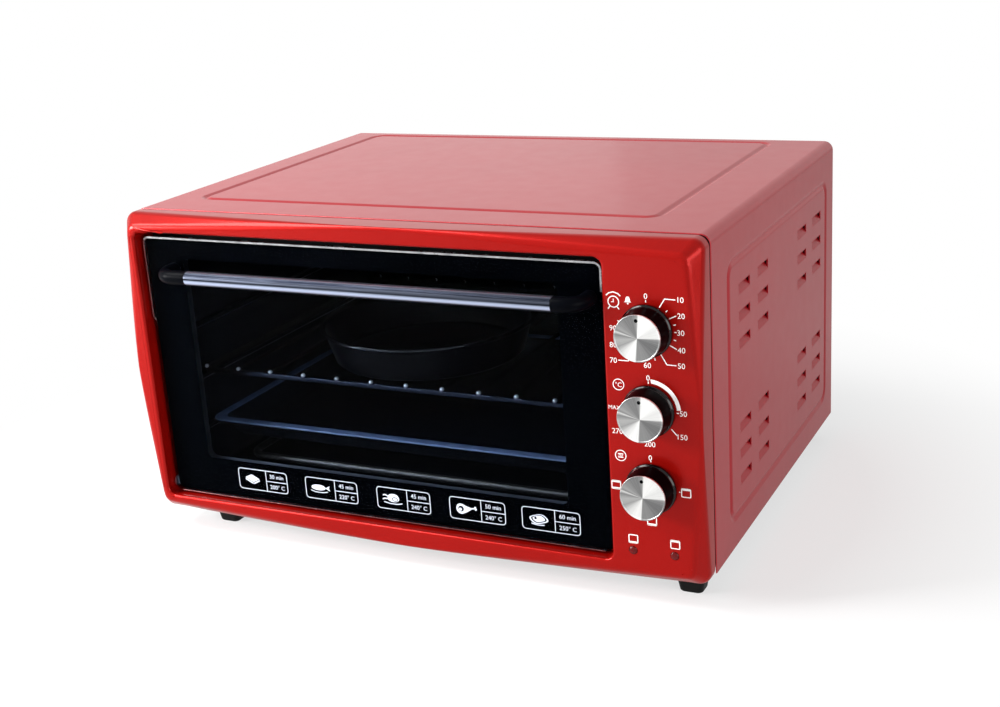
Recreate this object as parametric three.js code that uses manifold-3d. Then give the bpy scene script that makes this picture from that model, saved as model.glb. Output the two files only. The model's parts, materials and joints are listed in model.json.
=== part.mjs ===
// Mini oven: red sheet casing, glossy front bezel, drop-down glass door, three rotary knobs,
// with its cavity, heaters, rack, pan, tray and controls. Millimetres, +Z up, front faces -Y.
// Places are measured from the casing's centre line (x), the seam behind the bezel (y)
// and the underside of the casing (z). The last lines move the origin to the table, under the middle.
import * as THREE from 'three';
import { mergeVertices } from 'three/addons/utils/BufferGeometryUtils.js';
import Module from 'manifold-3d';

const wasm = await Module();
wasm.setup();

// Casing
const casingWidth = 500;
const casingHeight = 260;
const casingDepth = 358;
const casingCorner = 8;
const casingSheet = 1.2;
const seamWidth = 1.5;
const footHeight = 21;

// Fits
const seat = 0.3;
const overrun = 2;

// Front bezel
const bezelDepth = 26;
const bezelWall = 2;
const bezelCorner = 9;
const creaseCorner = 2;
const chamferCorner = 12.5;
const chamferMiddle = 1;
const insetCorner = 8.2;
const insetMiddle = 1.5;
const chamferFallShare = 1.5;
const insetFallShare = 1.2;
const railLeft = 14.2;
const railTop = 14;
const railBottom = 12;
const panelWidth = 72.5;
const openingCorner = 7;

// Front frame and cavity
const frameSheet = 1.2;
const frameFlange = 8;
const cavityInsetLeft = 16.8;
const cavityInsetRight = 21.5;
const cavityInsetBottom = 10;
const cavityInsetTop = 14;
const cavityRearSpace = 28;
const linerSheet = 0.8;
const linerFlange = 5;
const guideCount = 3;
const guideFirst = 43.2;
const guidePitch = 46;
const guideDepth = 6;
const guideHeight = 7;
const guideNose = 3;

// Door
const glassSetBack = 8;
const glassThickness = 4;
const glassCorner = 6;
const doorGapSide = 2.9;
const doorGapBottom = 2.2;
const doorGapTop = 5.4;
const doorFrameInset = 4;
const doorFrameDepth = 10.2;
const doorFrameSheet = 1.2;
const doorFrameWindowLeft = 29;
const doorFrameWindowRight = 30;
const doorFrameWindowBottom = 27;
const doorFrameWindowTop = 14;
const innerGlassThickness = 3;
const innerGlassOverlap = 8;

// Handle
const handleRadius = 5.9;
const handleStandOff = 22;
const handleDrop = 26.6;
const handleInsetLeft = 30.4;
const handleInsetRight = 9.4;
const handleEndLength = 25.5;
const handleWall = 1.2;
const handleBend = 13;
const handlePlug = 12;
const handleScrewRadius = 2;
const handleScrewHead = 4;
const handleScrewHeadHeight = 2.5;
const handleScrewReach = 10;

// Hinge
const hingeBack = 13;
const hingeRise = 8.5;
const hingePinRadius = 2.5;
const hingeDiscRadius = 4.8;
const hingeDiscThickness = 1.4;
const hingeArmHeight = 4;
const hingePinReach = 4;
const hingeBracketSheet = 1.5;
const hingeBracketHeight = 20;
const hingeBracketFoot = 4;
const hingeBracketSpace = 1.5;

// Door stay arms
const stayRadius = 75;
const stayWidth = 8;
const staySheet = 1.5;
const staySweep = 92.3;
const stayInset = 1.5;
const stayFootWidth = 12;
const stayFootHeight = 24;
const staySlotSpace = 2;

// Knobs and controls
const knobInset = 39.6;
const knobRise = 5;
const knobPitch = 60;
const knobBaseRadius = 19.5;
const knobRimLength = 2.4;
const knobNeckRadius = 17.9;
const knobFaceRadius = 17.25;
const knobLength = 19.3;
const knobGap = 0.7;
const discThickness = 1.4;
const discRim = 0.9;
const discRimHeight = 0.5;
const shaftRadius = 3;
const shaftHoleSpace = 1;
const shaftSeatDepth = 12;
const knobBoreRest = 7;
const timerSize = 50;
const timerDepth = 34;
const bellRadius = 18;
const bellHeight = 11;
const bellSheet = 1;
const bellShoulderShare = 0.8;
const thermostatSize = 38;
const thermostatDepth = 26;
const selectorRadius = 19;
const selectorDepth = 30;
const bulbRadius = 3;
const bulbLength = 80;
const bulbDrop = 27;
const bulbBack = 70;
const capillaryRadius = 1;
const capillaryBend = 4;

// Lamps
const lampSpread = 16.2;
const lampRise = 23;
const lampRadius = 3.1;
const lampDome = 1.2;
const lampFlange = 1.6;
const lampFlangeThickness = 1.5;
const lampLength = 10;

// Heaters
const heaterRadius = 3.25;
const heaterFront = 35;
const heaterRearSpace = 45;
const heaterLeftSpace = 29;
const heaterFloorSpace = 9.7;
const heaterRoofSpace = 10;
const heaterBend = 16;
const heaterTail = 5;
const bushingNeck = 1.8;
const bushingFlange = 2.2;
const bushingFlangeThickness = 3;

// Rack, pan and tray
const rackFront = 20;
const rackRearSpace = 12;
const rackSideSpace = 2.5;
const rackRailRadius = 2.5;
const rackWireRadius = 1.6;
const rackWireSink = 0.5;
const rackWireCount = 12;
const rackWireInset = 1.7;
const panCentreX = -35.5;
const panCentreY = 101;
const panRadius = 93;
const panBaseRadius = 80;
const panHeight = 31;
const panWall = 1.2;
const panLip = 3;
const panLipHeight = 2.4;
const trayFront = 18;
const trayRearSpace = 14;
const traySideSpace = 1.5;
const trayLip = 9;
const trayLipHeight = 3.6;
const trayDepth = 18;
const trayTaper = 5;
const traySheet = 1;
const trayCorner = 14;

// Wrapper details
const grooveWidth = 4.5;
const grooveDepth = 1.1;
const grooveCorner = 15;
const topGrooveLeft = 32;
const topGrooveRight = 52;
const topGrooveFront = 40;
const topGrooveRear = 10;
const sideGrooveFront = 36;
const sideGrooveRear = 24;
const sideGrooveBottom = 22;
const sideGrooveTop = 30;
const louvreLength = 29;
const louvreHeight = 7;
const louvreReach = 4.5;
const louvreRowPitch = 21.5;
const louvreRows = 3;
const louvreColumnPitch = 50;
const louvrePairPitch = 169;
const louvreFront = 64;
const louvreLow = 46;
const louvreHigh = 156;

// Rear cover, base pan, gland and feet
const rearRecess = 1.5;
const rearFlange = 6;
const panFlange = 14;
const rearSlotLength = 70;
const rearSlotHeight = 4;
const rearSlotPitch = 14;
const rearSlotRows = 9;
const rearSlotRise = 76;
const rearSlotSpread = 110;
const glandRadius = 7.7;
const glandFlange = 3.3;
const glandOut = 13;
const glandIn = 6;
const glandBore = 4;
const glandNeck = 3;
const glandInset = 50;
const glandRise = 35;
const footTopWidth = 26;
const footTopDepth = 22;
const footBottomWidth = 18;
const footBottomDepth = 16;
const footCorner = 4;
const footFront = 11;
const footRearSpace = 22;
const footLeftInset = 52;
const footRightInset = 22;
const footScrewRadius = 2;
const footScrewHead = 3.8;
const footScrewHeadHeight = 2.6;
const footRecess = 13;
const footScrewReach = 5;

// Roundness, as counts of flat faces
const arcSteps = 4;
const knobSteps = 24;
const panSteps = 28;
const smallSteps = 12;
const wireSteps = 8;
const sideSteps = 7;
const staySteps = 12;

// Places worked out from the sizes
const half = casingWidth / 2;
const halfSeam = seamWidth / 2;
const frontY = -bezelDepth;
const openingLeft = -half + railLeft;
const openingRight = half - panelWidth;
const openingBottom = railBottom;
const openingTop = casingHeight - railTop;
const frameFrontY = -halfSeam;
const frameBackY = frameFrontY + frameSheet;
const cavityLeft = openingLeft + cavityInsetLeft;
const cavityRight = openingRight - cavityInsetRight;
const cavityBottom = openingBottom + cavityInsetBottom;
const cavityTop = openingTop - cavityInsetTop;
const cavityBack = casingDepth - cavityRearSpace;
const doorLeft = openingLeft + doorGapSide;
const doorRight = openingRight - doorGapSide;
const doorBottom = openingBottom + doorGapBottom;
const doorTop = openingTop - doorGapTop;
const glassFrontY = frontY + glassSetBack;
const glassBackY = glassFrontY + glassThickness;
const doorFrameFrontY = glassBackY + seat;
const doorFrameBackY = doorFrameFrontY + doorFrameDepth;
const doorFrameLeft = doorLeft + doorFrameInset;
const doorFrameRight = doorRight - doorFrameInset;
const hingeY = frontY + hingeBack;
const hingeZ = openingBottom + hingeRise;
const knobX = half - knobInset;
const knobMiddleZ = casingHeight / 2 + knobRise;
const knobFrontY = frontY - knobGap - knobLength;
const innerX = half - casingSheet - seat;
const innerTop = casingHeight - casingSheet - seat;

// Materials
/**
 * One plain surface finish.
 * @param {number} color sRGB colour
 * @param {number} roughness 0 to 1
 * @param {number} metalness 0 to 1
 */
function finish(color, roughness, metalness) {
  return new THREE.MeshStandardMaterial({ color, roughness, metalness });
}

const redSatin = finish(0xb02a2c, 0.42, 0.25);
const redGloss = finish(0xb3140f, 0.18, 0.45);
const steel = finish(0x9aa0a6, 0.35, 1);
const galvanised = finish(0x8d9296, 0.5, 0.9);
const enamel = finish(0x22242a, 0.35, 0.1);
const blackGlass = finish(0x07090c, 0.05, 0);
const clearGlass = finish(0x1a2024, 0.05, 0);
const blackPlastic = finish(0x0b0b0c, 0.4, 0);
const spunMetal = finish(0xe2e3e4, 0.3, 1);
const brightSteel = finish(0xb9c2cc, 0.2, 1);
const heaterSteel = finish(0x4b4a48, 0.5, 0.7);
const ceramic = finish(0xe8e2d4, 0.7, 0);
const redLens = finish(0x5a0508, 0.1, 0);
const brass = finish(0xb08d4c, 0.4, 1);

// Solids and booleans
/** Signed volume of an indexed geometry. */
function signedVolume(geometry) {
  const place = geometry.attributes.position;
  const index = geometry.index;
  const a = new THREE.Vector3();
  const b = new THREE.Vector3();
  const c = new THREE.Vector3();
  let total = 0;
  for (let i = 0; i < index.count; i += 3) {
    a.fromBufferAttribute(place, index.getX(i));
    b.fromBufferAttribute(place, index.getX(i + 1));
    c.fromBufferAttribute(place, index.getX(i + 2));
    total += a.dot(b.cross(c));
  }
  return total;
}

/** Turn a closed geometry into a solid whose faces point out. */
function solid(geometry) {
  const bare = geometry.clone();
  bare.deleteAttribute('normal');
  bare.deleteAttribute('uv');
  const merged = mergeVertices(bare);
  const inward = signedVolume(merged) < 0;
  const source = merged.index.array;
  const corners = [];
  for (let i = 0; i < source.length; i += 3) {
    const [a, b, c] = [source[i], source[i + 1], source[i + 2]];
    if (a !== b && b !== c && c !== a) {
      corners.push(a, inward ? c : b, inward ? b : c);
    }
  }
  const vertProperties = new Float32Array(merged.attributes.position.array);
  const triVerts = new Uint32Array(corners);
  return new wasm.Manifold(new wasm.Mesh({ numProp: 3, vertProperties, triVerts }));
}

/** Turn a solid back into a geometry. */
function skin(body) {
  const mesh = body.getMesh();
  const geometry = new THREE.BufferGeometry();
  geometry.setAttribute('position', new THREE.BufferAttribute(mesh.vertProperties, 3));
  geometry.setIndex(new THREE.BufferAttribute(mesh.triVerts, 1));
  geometry.computeVertexNormals();
  return geometry;
}

/** Join several solids into one. */
function join(bodies) {
  return bodies.reduce((whole, body) => whole.add(body));
}

/** Cut several solids out of one. */
function cut(body, tools) {
  return tools.reduce((whole, tool) => whole.subtract(tool), body);
}

/** A box between two corners. */
function block([x0, x1], [y0, y1], [z0, z1]) {
  const geometry = new THREE.BoxGeometry(x1 - x0, y1 - y0, z1 - z0);
  geometry.translate((x0 + x1) / 2, (y0 + y1) / 2, (z0 + z1) / 2);
  return solid(geometry);
}

/** A rectangle with round corners, as a shape. */
function roundRect([u0, u1], [v0, v1], radius) {
  const shape = new THREE.Shape();
  shape.moveTo(u0 + radius, v0);
  shape.lineTo(u1 - radius, v0);
  shape.absarc(u1 - radius, v0 + radius, radius, -Math.PI / 2, 0, false);
  shape.lineTo(u1, v1 - radius);
  shape.absarc(u1 - radius, v1 - radius, radius, 0, Math.PI / 2, false);
  shape.lineTo(u0 + radius, v1);
  shape.absarc(u0 + radius, v1 - radius, radius, Math.PI / 2, Math.PI, false);
  shape.lineTo(u0, v0 + radius);
  shape.absarc(u0 + radius, v0 + radius, radius, Math.PI, Math.PI * 1.5, false);
  return shape;
}

/** A shape from a list of corners. */
function polygon(corners) {
  return new THREE.Shape(corners.map(([u, v]) => new THREE.Vector2(u, v)));
}

const turnToX = new THREE.Matrix4().makeBasis(
  new THREE.Vector3(0, 1, 0),
  new THREE.Vector3(0, 0, 1),
  new THREE.Vector3(1, 0, 0),
);
const turnToY = new THREE.Matrix4().makeRotationX(Math.PI / 2);

/** Extrude a shape; its depth runs along the shape's own third axis. */
function extrude(shape, depth) {
  return new THREE.ExtrudeGeometry(shape, { depth, bevelEnabled: false, curveSegments: arcSteps });
}

/** Extrude a shape drawn in y and z along x. */
function alongX(shape, [x0, x1]) {
  const geometry = extrude(shape, x1 - x0);
  geometry.applyMatrix4(turnToX);
  geometry.translate(x0, 0, 0);
  return solid(geometry);
}

/** Extrude a shape drawn in x and z along y. */
function alongY(shape, [y0, y1]) {
  const geometry = extrude(shape, y1 - y0);
  geometry.applyMatrix4(turnToY);
  geometry.translate(0, y1, 0);
  return solid(geometry);
}

/** Extrude a shape drawn in x and y along z. */
function alongZ(shape, [z0, z1]) {
  const geometry = extrude(shape, z1 - z0);
  geometry.translate(0, 0, z0);
  return solid(geometry);
}

/** Turn a profile of [radius, height] pairs about an axis through a point. */
function turned(profile, axis, [x, y, z], steps) {
  const points = profile.map(([radius, height]) => new THREE.Vector2(radius, height));
  const geometry = new THREE.LatheGeometry(points, steps);
  if (axis === 'x') {
    geometry.rotateZ(-Math.PI / 2);
  }
  if (axis === 'z') {
    geometry.rotateX(Math.PI / 2);
  }
  geometry.translate(x, y, z);
  return solid(geometry);
}

/** A round bar or round hole tool along an axis, from one height to another. */
function bar(radius, axis, [x, y, z], [from, to], steps) {
  const profile = [[0, from], [radius, from], [radius, to], [0, to]];
  return turned(profile, axis, [x, y, z], steps);
}

/** A path that passes through listed points, one section at each. */
class PointPath extends THREE.Curve {
  constructor(points) {
    super();
    this.points = points;
  }

  getPoint(share) {
    const last = this.points.length - 1;
    const whole = Math.min(Math.floor(share * last + Number.EPSILON * last), last - 1);
    return this.points[whole].clone().lerp(this.points[whole + 1], share * last - whole);
  }

  getPointAt(share) {
    const last = this.points.length - 1;
    return this.points[Math.round(share * last)].clone();
  }

  getTangentAt(share) {
    const last = this.points.length - 1;
    const at = Math.round(share * last);
    const before = this.points[Math.max(at - 1, 0)];
    const after = this.points[Math.min(at + 1, last)];
    return after.clone().sub(before).normalize();
  }
}

/** Replace each inner corner of a route with a round bend. */
function bentRoute(corners, bend, steps) {
  const points = [corners[0].clone()];
  for (let i = 1; i < corners.length - 1; i += 1) {
    const toward = corners[i].clone().sub(corners[i - 1]).normalize();
    const away = corners[i + 1].clone().sub(corners[i]).normalize();
    const turn = toward.angleTo(away);
    const reach = bend * Math.tan(turn / 2);
    const inward = away.clone().sub(toward).normalize();
    const centre = corners[i].clone().addScaledVector(inward, bend / Math.cos(turn / 2));
    const start = corners[i].clone().addScaledVector(toward, -reach).sub(centre);
    const normal = toward.clone().cross(away).normalize();
    for (let k = 0; k <= steps; k += 1) {
      points.push(start.clone().applyAxisAngle(normal, (turn * k) / steps).add(centre));
    }
  }
  points.push(corners[corners.length - 1].clone());
  return points;
}

/** A round bar along a route of points. */
function rod(points, radius, steps) {
  const circle = new THREE.Shape();
  circle.absarc(0, 0, radius, 0, Math.PI * 2, false);
  const geometry = new THREE.ExtrudeGeometry(circle, {
    steps: points.length - 1,
    curveSegments: steps,
    extrudePath: new PointPath(points),
    bevelEnabled: false,
  });
  return solid(geometry);
}

/** Skin a stack of rings with equal counts of points, closed by flat ends. */
function loft(rings) {
  const count = rings[0].length;
  const positions = rings.flat(2);
  const triangles = [];
  for (let level = 0; level + 1 < rings.length; level += 1) {
    for (let i = 0; i < count; i += 1) {
      const next = (i + 1) % count;
      const a = level * count + i;
      const b = level * count + next;
      const c = a + count;
      const d = b + count;
      triangles.push(a, b, d, a, d, c);
    }
  }
  for (const level of [0, rings.length - 1]) {
    const ring = rings[level];
    const middle = [0, 1, 2].map((axis) => ring.reduce((sum, point) => sum + point[axis], 0) / count);
    const hub = positions.length / 3;
    positions.push(...middle);
    for (let i = 0; i < count; i += 1) {
      const a = level * count + i;
      const b = level * count + ((i + 1) % count);
      triangles.push(hub, ...(level === 0 ? [b, a] : [a, b]));
    }
  }
  const geometry = new THREE.BufferGeometry();
  geometry.setAttribute('position', new THREE.Float32BufferAttribute(positions, 3));
  geometry.setIndex(triangles);
  return solid(geometry);
}

// The group and its pieces
const oven = new THREE.Group();

/** Add one named piece to the oven. */
function piece(name, body, material) {
  const mesh = new THREE.Mesh(skin(body), material);
  mesh.name = name;
  oven.add(mesh);
}

// Casing wrapper: a U of sheet with pressed grooves and louvres
/** Outline of the U in x and z, for one offset from the outer face. */
function wrapperOutline(offset, foot) {
  const side = half - offset;
  const top = casingHeight - offset;
  const radius = casingCorner - offset;
  const shape = new THREE.Shape();
  shape.moveTo(-side, foot);
  shape.lineTo(side, foot);
  shape.lineTo(side, top - radius);
  shape.absarc(side - radius, top - radius, radius, 0, Math.PI / 2, false);
  shape.lineTo(-side + radius, top);
  shape.absarc(-side + radius, top - radius, radius, Math.PI / 2, Math.PI, false);
  return shape;
}

/** A flat ring between two round rectangles, as a shape. */
function ringShape([u0, u1], [v0, v1], radius, width) {
  const shape = roundRect([u0, u1], [v0, v1], radius);
  shape.holes.push(roundRect([u0 + width, u1 - width], [v0 + width, v1 - width], radius - width));
  return shape;
}

/** Pressed groove in an outer face: what is cut from that face and the ridge it leaves inside. */
function groove(spanU, spanV, extrudeFace, surface) {
  const ridgeU = [spanU[0] - casingSheet / 2, spanU[1] + casingSheet / 2];
  const ridgeV = [spanV[0] - casingSheet / 2, spanV[1] + casingSheet / 2];
  const channel = ringShape(spanU, spanV, grooveCorner, grooveWidth);
  const ridge = ringShape(ridgeU, ridgeV, grooveCorner, grooveWidth + casingSheet);
  return {
    channel: extrudeFace(channel, [surface - grooveDepth, surface + overrun]),
    ridge: extrudeFace(ridge, [surface - grooveDepth - casingSheet, surface - casingSheet + seat]),
  };
}

const sideSpanY = [sideGrooveFront, casingDepth - sideGrooveRear];
const sideSpanZ = [sideGrooveBottom, casingHeight - sideGrooveTop];
const topSpanX = [-half + topGrooveLeft, half - topGrooveRight];
const topSpanY = [topGrooveFront, casingDepth - topGrooveRear];

/** The louvres of one side: ramps pressed inwards that are open at their rear end. */
function louvres(side) {
  const hollows = [];
  const scoops = [];
  const outer = side * half;
  const inner = side * (half - casingSheet);
  const outside = side * (half + overrun);
  const deep = side * (half - louvreReach);
  const behind = side * (half - louvreReach - casingSheet);
  const root = inner + side * seat;
  for (const pair of [0, 1]) {
    for (const column of [0, 1]) {
      const front = louvreFront + pair * louvrePairPitch + column * louvreColumnPitch;
      const rear = front + louvreLength;
      const ramp = polygon([[outside, front], [outer, front], [deep, rear], [outside, rear]]);
      const back = polygon([[root, front], [inner, front], [behind, rear - seat], [root, rear - seat]]);
      for (const base of [louvreLow, louvreHigh]) {
        for (let row = 0; row < louvreRows; row += 1) {
          const low = base + row * louvreRowPitch;
          const high = low + louvreHeight;
          hollows.push(alongZ(ramp, [low, high]));
          scoops.push(alongZ(back, [low - casingSheet, high + casingSheet]));
        }
      }
    }
  }
  return { hollows, scoops };
}

function wrapper() {
  const span = [halfSeam, casingDepth];
  const outer = alongY(wrapperOutline(0, 0), span);
  const inner = alongY(wrapperOutline(casingSheet, -overrun), [span[0] - overrun, span[1] + overrun]);
  const top = groove(topSpanX, topSpanY, alongZ, casingHeight);
  const right = groove(sideSpanY, sideSpanZ, alongX, half);
  const mirrored = { channel: right.channel.mirror([1, 0, 0]), ridge: right.ridge.mirror([1, 0, 0]) };
  const grooves = [top, right, mirrored];
  const vents = [louvres(1), louvres(-1)];
  const channels = grooves.map((item) => item.channel);
  const ridges = grooves.map((item) => item.ridge);
  const shell = join([cut(outer, [inner, ...channels]), ...ridges, ...vents.flatMap((vent) => vent.scoops)]);
  return cut(shell, vents.flatMap((vent) => vent.hollows));
}

// Front frame: plate behind the bezel, with the cavity mouth, stay slots and shaft holes
const stayLeftX = doorFrameLeft + stayInset;
const stayRightX = doorFrameRight - stayInset - staySheet;
const stayAngle = Math.asin((frameFrontY - hingeY) / stayRadius);
const stayZ = hingeZ + stayRadius * Math.cos(stayAngle);
const controlHeights = [knobMiddleZ + knobPitch, knobMiddleZ, knobMiddleZ - knobPitch];

function frontFrame() {
  const outX = half - seamWidth;
  const low = seamWidth;
  const high = casingHeight - seamWidth;
  const plate = alongY(roundRect([-outX, outX], [low, high], casingCorner - seamWidth),
    [frameFrontY, frameFrontY + frameFlange]);
  const hollow = alongY(
    roundRect([-outX + frameSheet, outX - frameSheet], [low + frameSheet, high - frameSheet],
      casingCorner - seamWidth - frameSheet),
    [frameBackY, frameFrontY + frameFlange + overrun],
  );
  const through = [frameFrontY - overrun, frameBackY + overrun];
  const mouth = block([cavityLeft, cavityRight], through, [cavityBottom, cavityTop]);
  const slots = [stayLeftX, stayRightX].map((x) => block(
    [x - staySlotSpace, x + staySheet + staySlotSpace],
    through,
    [stayZ - stayWidth, stayZ + stayWidth],
  ));
  const holes = controlHeights.map((z) => bar(
    shaftRadius + shaftHoleSpace, 'y', [knobX, 0, z], through, smallSteps,
  ));
  return cut(plate, [hollow, mouth, ...slots, ...holes]);
}

// Front bezel: one shell with a chamfer that is wide at the corners and thin at mid-side
/** How much of the corner's chamfer is left at a distance along a side of a given half length. */
function fade(distance, halfLength, power) {
  const left = Math.max(1 - distance / halfLength, 0);
  return left ** power;
}

/** One ring of bezel points; size gives inset and y at each distance from a corner. */
function bezelRing(shrink, radius, insetAt, depthAt) {
  const ring = [];
  const sizeX = half;
  const sizeZ = casingHeight / 2;
  const corners = [[1, -1, -90], [1, 1, 0], [-1, 1, 90], [-1, -1, 180]];
  corners.forEach(([sx, sz, startAngle], k) => {
    const insetX = shrink + insetAt(bezelCorner, sizeZ);
    const insetZ = shrink + insetAt(bezelCorner, sizeX);
    const centre = [sx * (sizeX - insetX - radius), sizeZ + sz * (sizeZ - insetZ - radius)];
    for (let i = 0; i <= arcSteps; i += 1) {
      const angle = THREE.MathUtils.degToRad(startAngle + (90 * i) / arcSteps);
      ring.push([
        centre[0] + radius * Math.cos(angle),
        depthAt(bezelCorner, Math.min(sizeX, sizeZ)),
        centre[1] + radius * Math.sin(angle),
      ]);
    }
    const upright = k % 2 === 0;
    const halfLength = upright ? sizeZ : sizeX;
    const start = halfLength - bezelCorner;
    for (let i = 1; i < sideSteps; i += 1) {
      const along = start - (2 * start * i) / sideSteps;
      const distance = halfLength - Math.abs(along);
      const inset = shrink + insetAt(distance, halfLength);
      const depth = depthAt(distance, halfLength);
      if (upright) {
        ring.push([sx * (sizeX - inset), depth, sizeZ - sx * along]);
      } else {
        ring.push([sz * along, depth, sizeZ + sz * (sizeZ - inset)]);
      }
    }
  });
  return ring;
}

/** The bezel's outer body, or its hollow when shrunk by the wall. */
function bezelBody(shrink, backY, faceY) {
  const none = () => 0;
  const inset = (distance, length) => {
    const rest = fade(distance, length, insetFallShare);
    return insetMiddle + insetCorner * rest;
  };
  const edge = (distance, length) => {
    const rest = fade(distance, length, chamferFallShare);
    return faceY + chamferMiddle + chamferCorner * rest;
  };
  const back = bezelRing(shrink, bezelCorner - shrink, none, () => backY);
  const band = bezelRing(shrink, bezelCorner - shrink, none, edge);
  const face = bezelRing(shrink, creaseCorner, inset, () => faceY);
  return loft([back, band, face]);
}

const hingeHole = hingePinRadius + seat;

function bezel() {
  const backY = -halfSeam;
  const outer = bezelBody(0, backY, frontY);
  const inner = bezelBody(bezelWall, backY + overrun, frontY + bezelWall);
  const around = alongY(
    roundRect(
      [openingLeft - bezelWall, openingRight + bezelWall],
      [openingBottom - bezelWall, openingTop + bezelWall],
      openingCorner + bezelWall,
    ),
    [frontY - overrun, backY + 2 * overrun],
  );
  const opening = alongY(
    roundRect([openingLeft, openingRight], [openingBottom, openingTop], openingCorner),
    [frontY - overrun, backY + overrun],
  );
  const face = [frontY - overrun, frontY + bezelWall + overrun];
  const shafts = controlHeights.map((z) => bar(
    shaftRadius + shaftHoleSpace, 'y', [knobX, 0, z], face, smallSteps,
  ));
  const lamps = [-lampSpread, lampSpread].map((dx) => bar(
    lampRadius + seat, 'y', [knobX + dx, 0, lampRise], face, smallSteps,
  ));
  const pins = bar(
    hingeHole, 'x', [0, hingeY, hingeZ],
    [openingLeft - bezelWall - overrun, openingRight + bezelWall + overrun], smallSteps,
  );
  return cut(outer, [inner.subtract(around), opening, pins, ...shafts, ...lamps]);
}

// Oven liner: five-sided box with a mouth flange and pressed rack guides
const guideTops = Array.from({ length: guideCount }, (_, k) => cavityBottom + guideFirst + k * guidePitch);

function guideShape(side, offset) {
  const wall = side > 0 ? cavityRight : cavityLeft;
  const noseX = wall - side * (guideDepth - offset);
  const rootX = wall + side * offset;
  return guideTops.map((top) => polygon([
    [rootX, top - offset],
    [noseX, top - offset],
    [noseX, top - guideNose + offset],
    [rootX, top - guideHeight + offset],
  ]));
}

const terminalsY = [heaterFront, cavityBack - heaterRearSpace];
const heaterHeights = [cavityTop - heaterRoofSpace, cavityBottom + heaterFloorSpace];
const bushingHole = heaterRadius + bushingNeck + 2 * seat;
const bulbZ = cavityTop - bulbDrop;

function liner() {
  const outer = block(
    [cavityLeft - linerSheet, cavityRight + linerSheet],
    [frameBackY, cavityBack + linerSheet],
    [cavityBottom - linerSheet, cavityTop + linerSheet],
  );
  const flange = block(
    [cavityLeft - linerFlange, cavityRight + linerFlange],
    [frameBackY, frameBackY + linerSheet],
    [cavityBottom - linerFlange, cavityTop + linerFlange],
  );
  const hollow = block(
    [cavityLeft, cavityRight],
    [frameBackY - overrun, cavityBack],
    [cavityBottom, cavityTop],
  );
  const guideSpan = [frameBackY + guideDepth, cavityBack - guideDepth];
  const innerSpan = [guideSpan[0] + linerSheet, guideSpan[1] - linerSheet];
  const ribs = [-1, 1].flatMap((side) => guideShape(side, 0).map((shape) => alongY(shape, guideSpan)));
  const backs = [-1, 1].flatMap(
    (side) => guideShape(side, linerSheet).map((shape) => alongY(shape, innerSpan)),
  );
  const across = [cavityRight - overrun, cavityRight + linerSheet + overrun];
  const holes = heaterHeights.flatMap((z) => terminalsY.map((y) => bar(
    bushingHole, 'x', [0, y, z], across, smallSteps,
  )));
  const bulbHole = bar(capillaryRadius + seat, 'x', [0, bulbBack, bulbZ], across, wireSteps);
  const shell = join([outer, flange]).subtract(hollow);
  return cut(join([shell, ...ribs]), [...backs, ...holes, bulbHole]);
}

// Tubular heaters and their bushings
const heaterTipX = cavityRight + linerSheet + bushingFlangeThickness + heaterTail;

function heater(z) {
  const left = cavityLeft + heaterLeftSpace;
  const corners = [
    new THREE.Vector3(heaterTipX, terminalsY[0], z),
    new THREE.Vector3(left, terminalsY[0], z),
    new THREE.Vector3(left, terminalsY[1], z),
    new THREE.Vector3(heaterTipX, terminalsY[1], z),
  ];
  return rod(bentRoute(corners, heaterBend, arcSteps), heaterRadius, wireSteps / 2);
}

function bushing(y, z) {
  const bore = heaterRadius + seat;
  const neck = bore + bushingNeck;
  const rim = neck + bushingFlange;
  const inside = cavityRight;
  const seatX = cavityRight + linerSheet;
  const outside = seatX + bushingFlangeThickness;
  const profile = [[bore, inside], [neck, inside], [neck, seatX], [rim, seatX], [rim, outside],
    [bore, outside], [bore, inside]];
  return turned(profile, 'x', [0, y, z], smallSteps);
}

// Door: outer glass, inner frame, inner glass
const handleLeftX = doorLeft + handleInsetLeft;
const handleRightX = doorRight - handleInsetRight;
const handleZ = doorTop - handleDrop;
const handleY = glassFrontY - handleStandOff;

function doorGlass() {
  const pane = alongY(
    roundRect([doorLeft, doorRight], [doorBottom, doorTop], glassCorner),
    [glassFrontY, glassBackY],
  );
  const holes = [handleLeftX, handleRightX].map((x) => bar(
    handleScrewRadius + seat, 'y', [x, 0, handleZ],
    [glassFrontY - overrun, glassBackY + overrun], smallSteps,
  ));
  return cut(pane, holes);
}

const doorFrameBottom = doorBottom + doorFrameInset - seat;
const doorFrameTop = doorTop - doorFrameInset;
const doorWindowX = [doorFrameLeft + doorFrameWindowLeft, doorFrameRight - doorFrameWindowRight];
const doorWindowZ = [doorFrameBottom + doorFrameWindowBottom, doorFrameTop - doorFrameWindowTop];

function doorFrame() {
  const outer = block([doorFrameLeft, doorFrameRight], [doorFrameFrontY, doorFrameBackY],
    [doorFrameBottom, doorFrameTop]);
  const hollow = block(
    [doorFrameLeft + doorFrameSheet, doorFrameRight - doorFrameSheet],
    [doorFrameFrontY - overrun, doorFrameBackY - doorFrameSheet],
    [doorFrameBottom + doorFrameSheet, doorFrameTop - doorFrameSheet],
  );
  const window = alongY(
    roundRect(doorWindowX, doorWindowZ, glassCorner),
    [doorFrameBackY - doorFrameSheet - overrun, doorFrameBackY + overrun],
  );
  return cut(outer, [hollow, window]);
}

function innerGlass() {
  const backY = doorFrameBackY - doorFrameSheet - seat;
  return block(
    [doorWindowX[0] - innerGlassOverlap, doorWindowX[1] + innerGlassOverlap],
    [backY - innerGlassThickness, backY],
    [doorWindowZ[0] - innerGlassOverlap, doorWindowZ[1] + innerGlassOverlap],
  );
}

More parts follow.
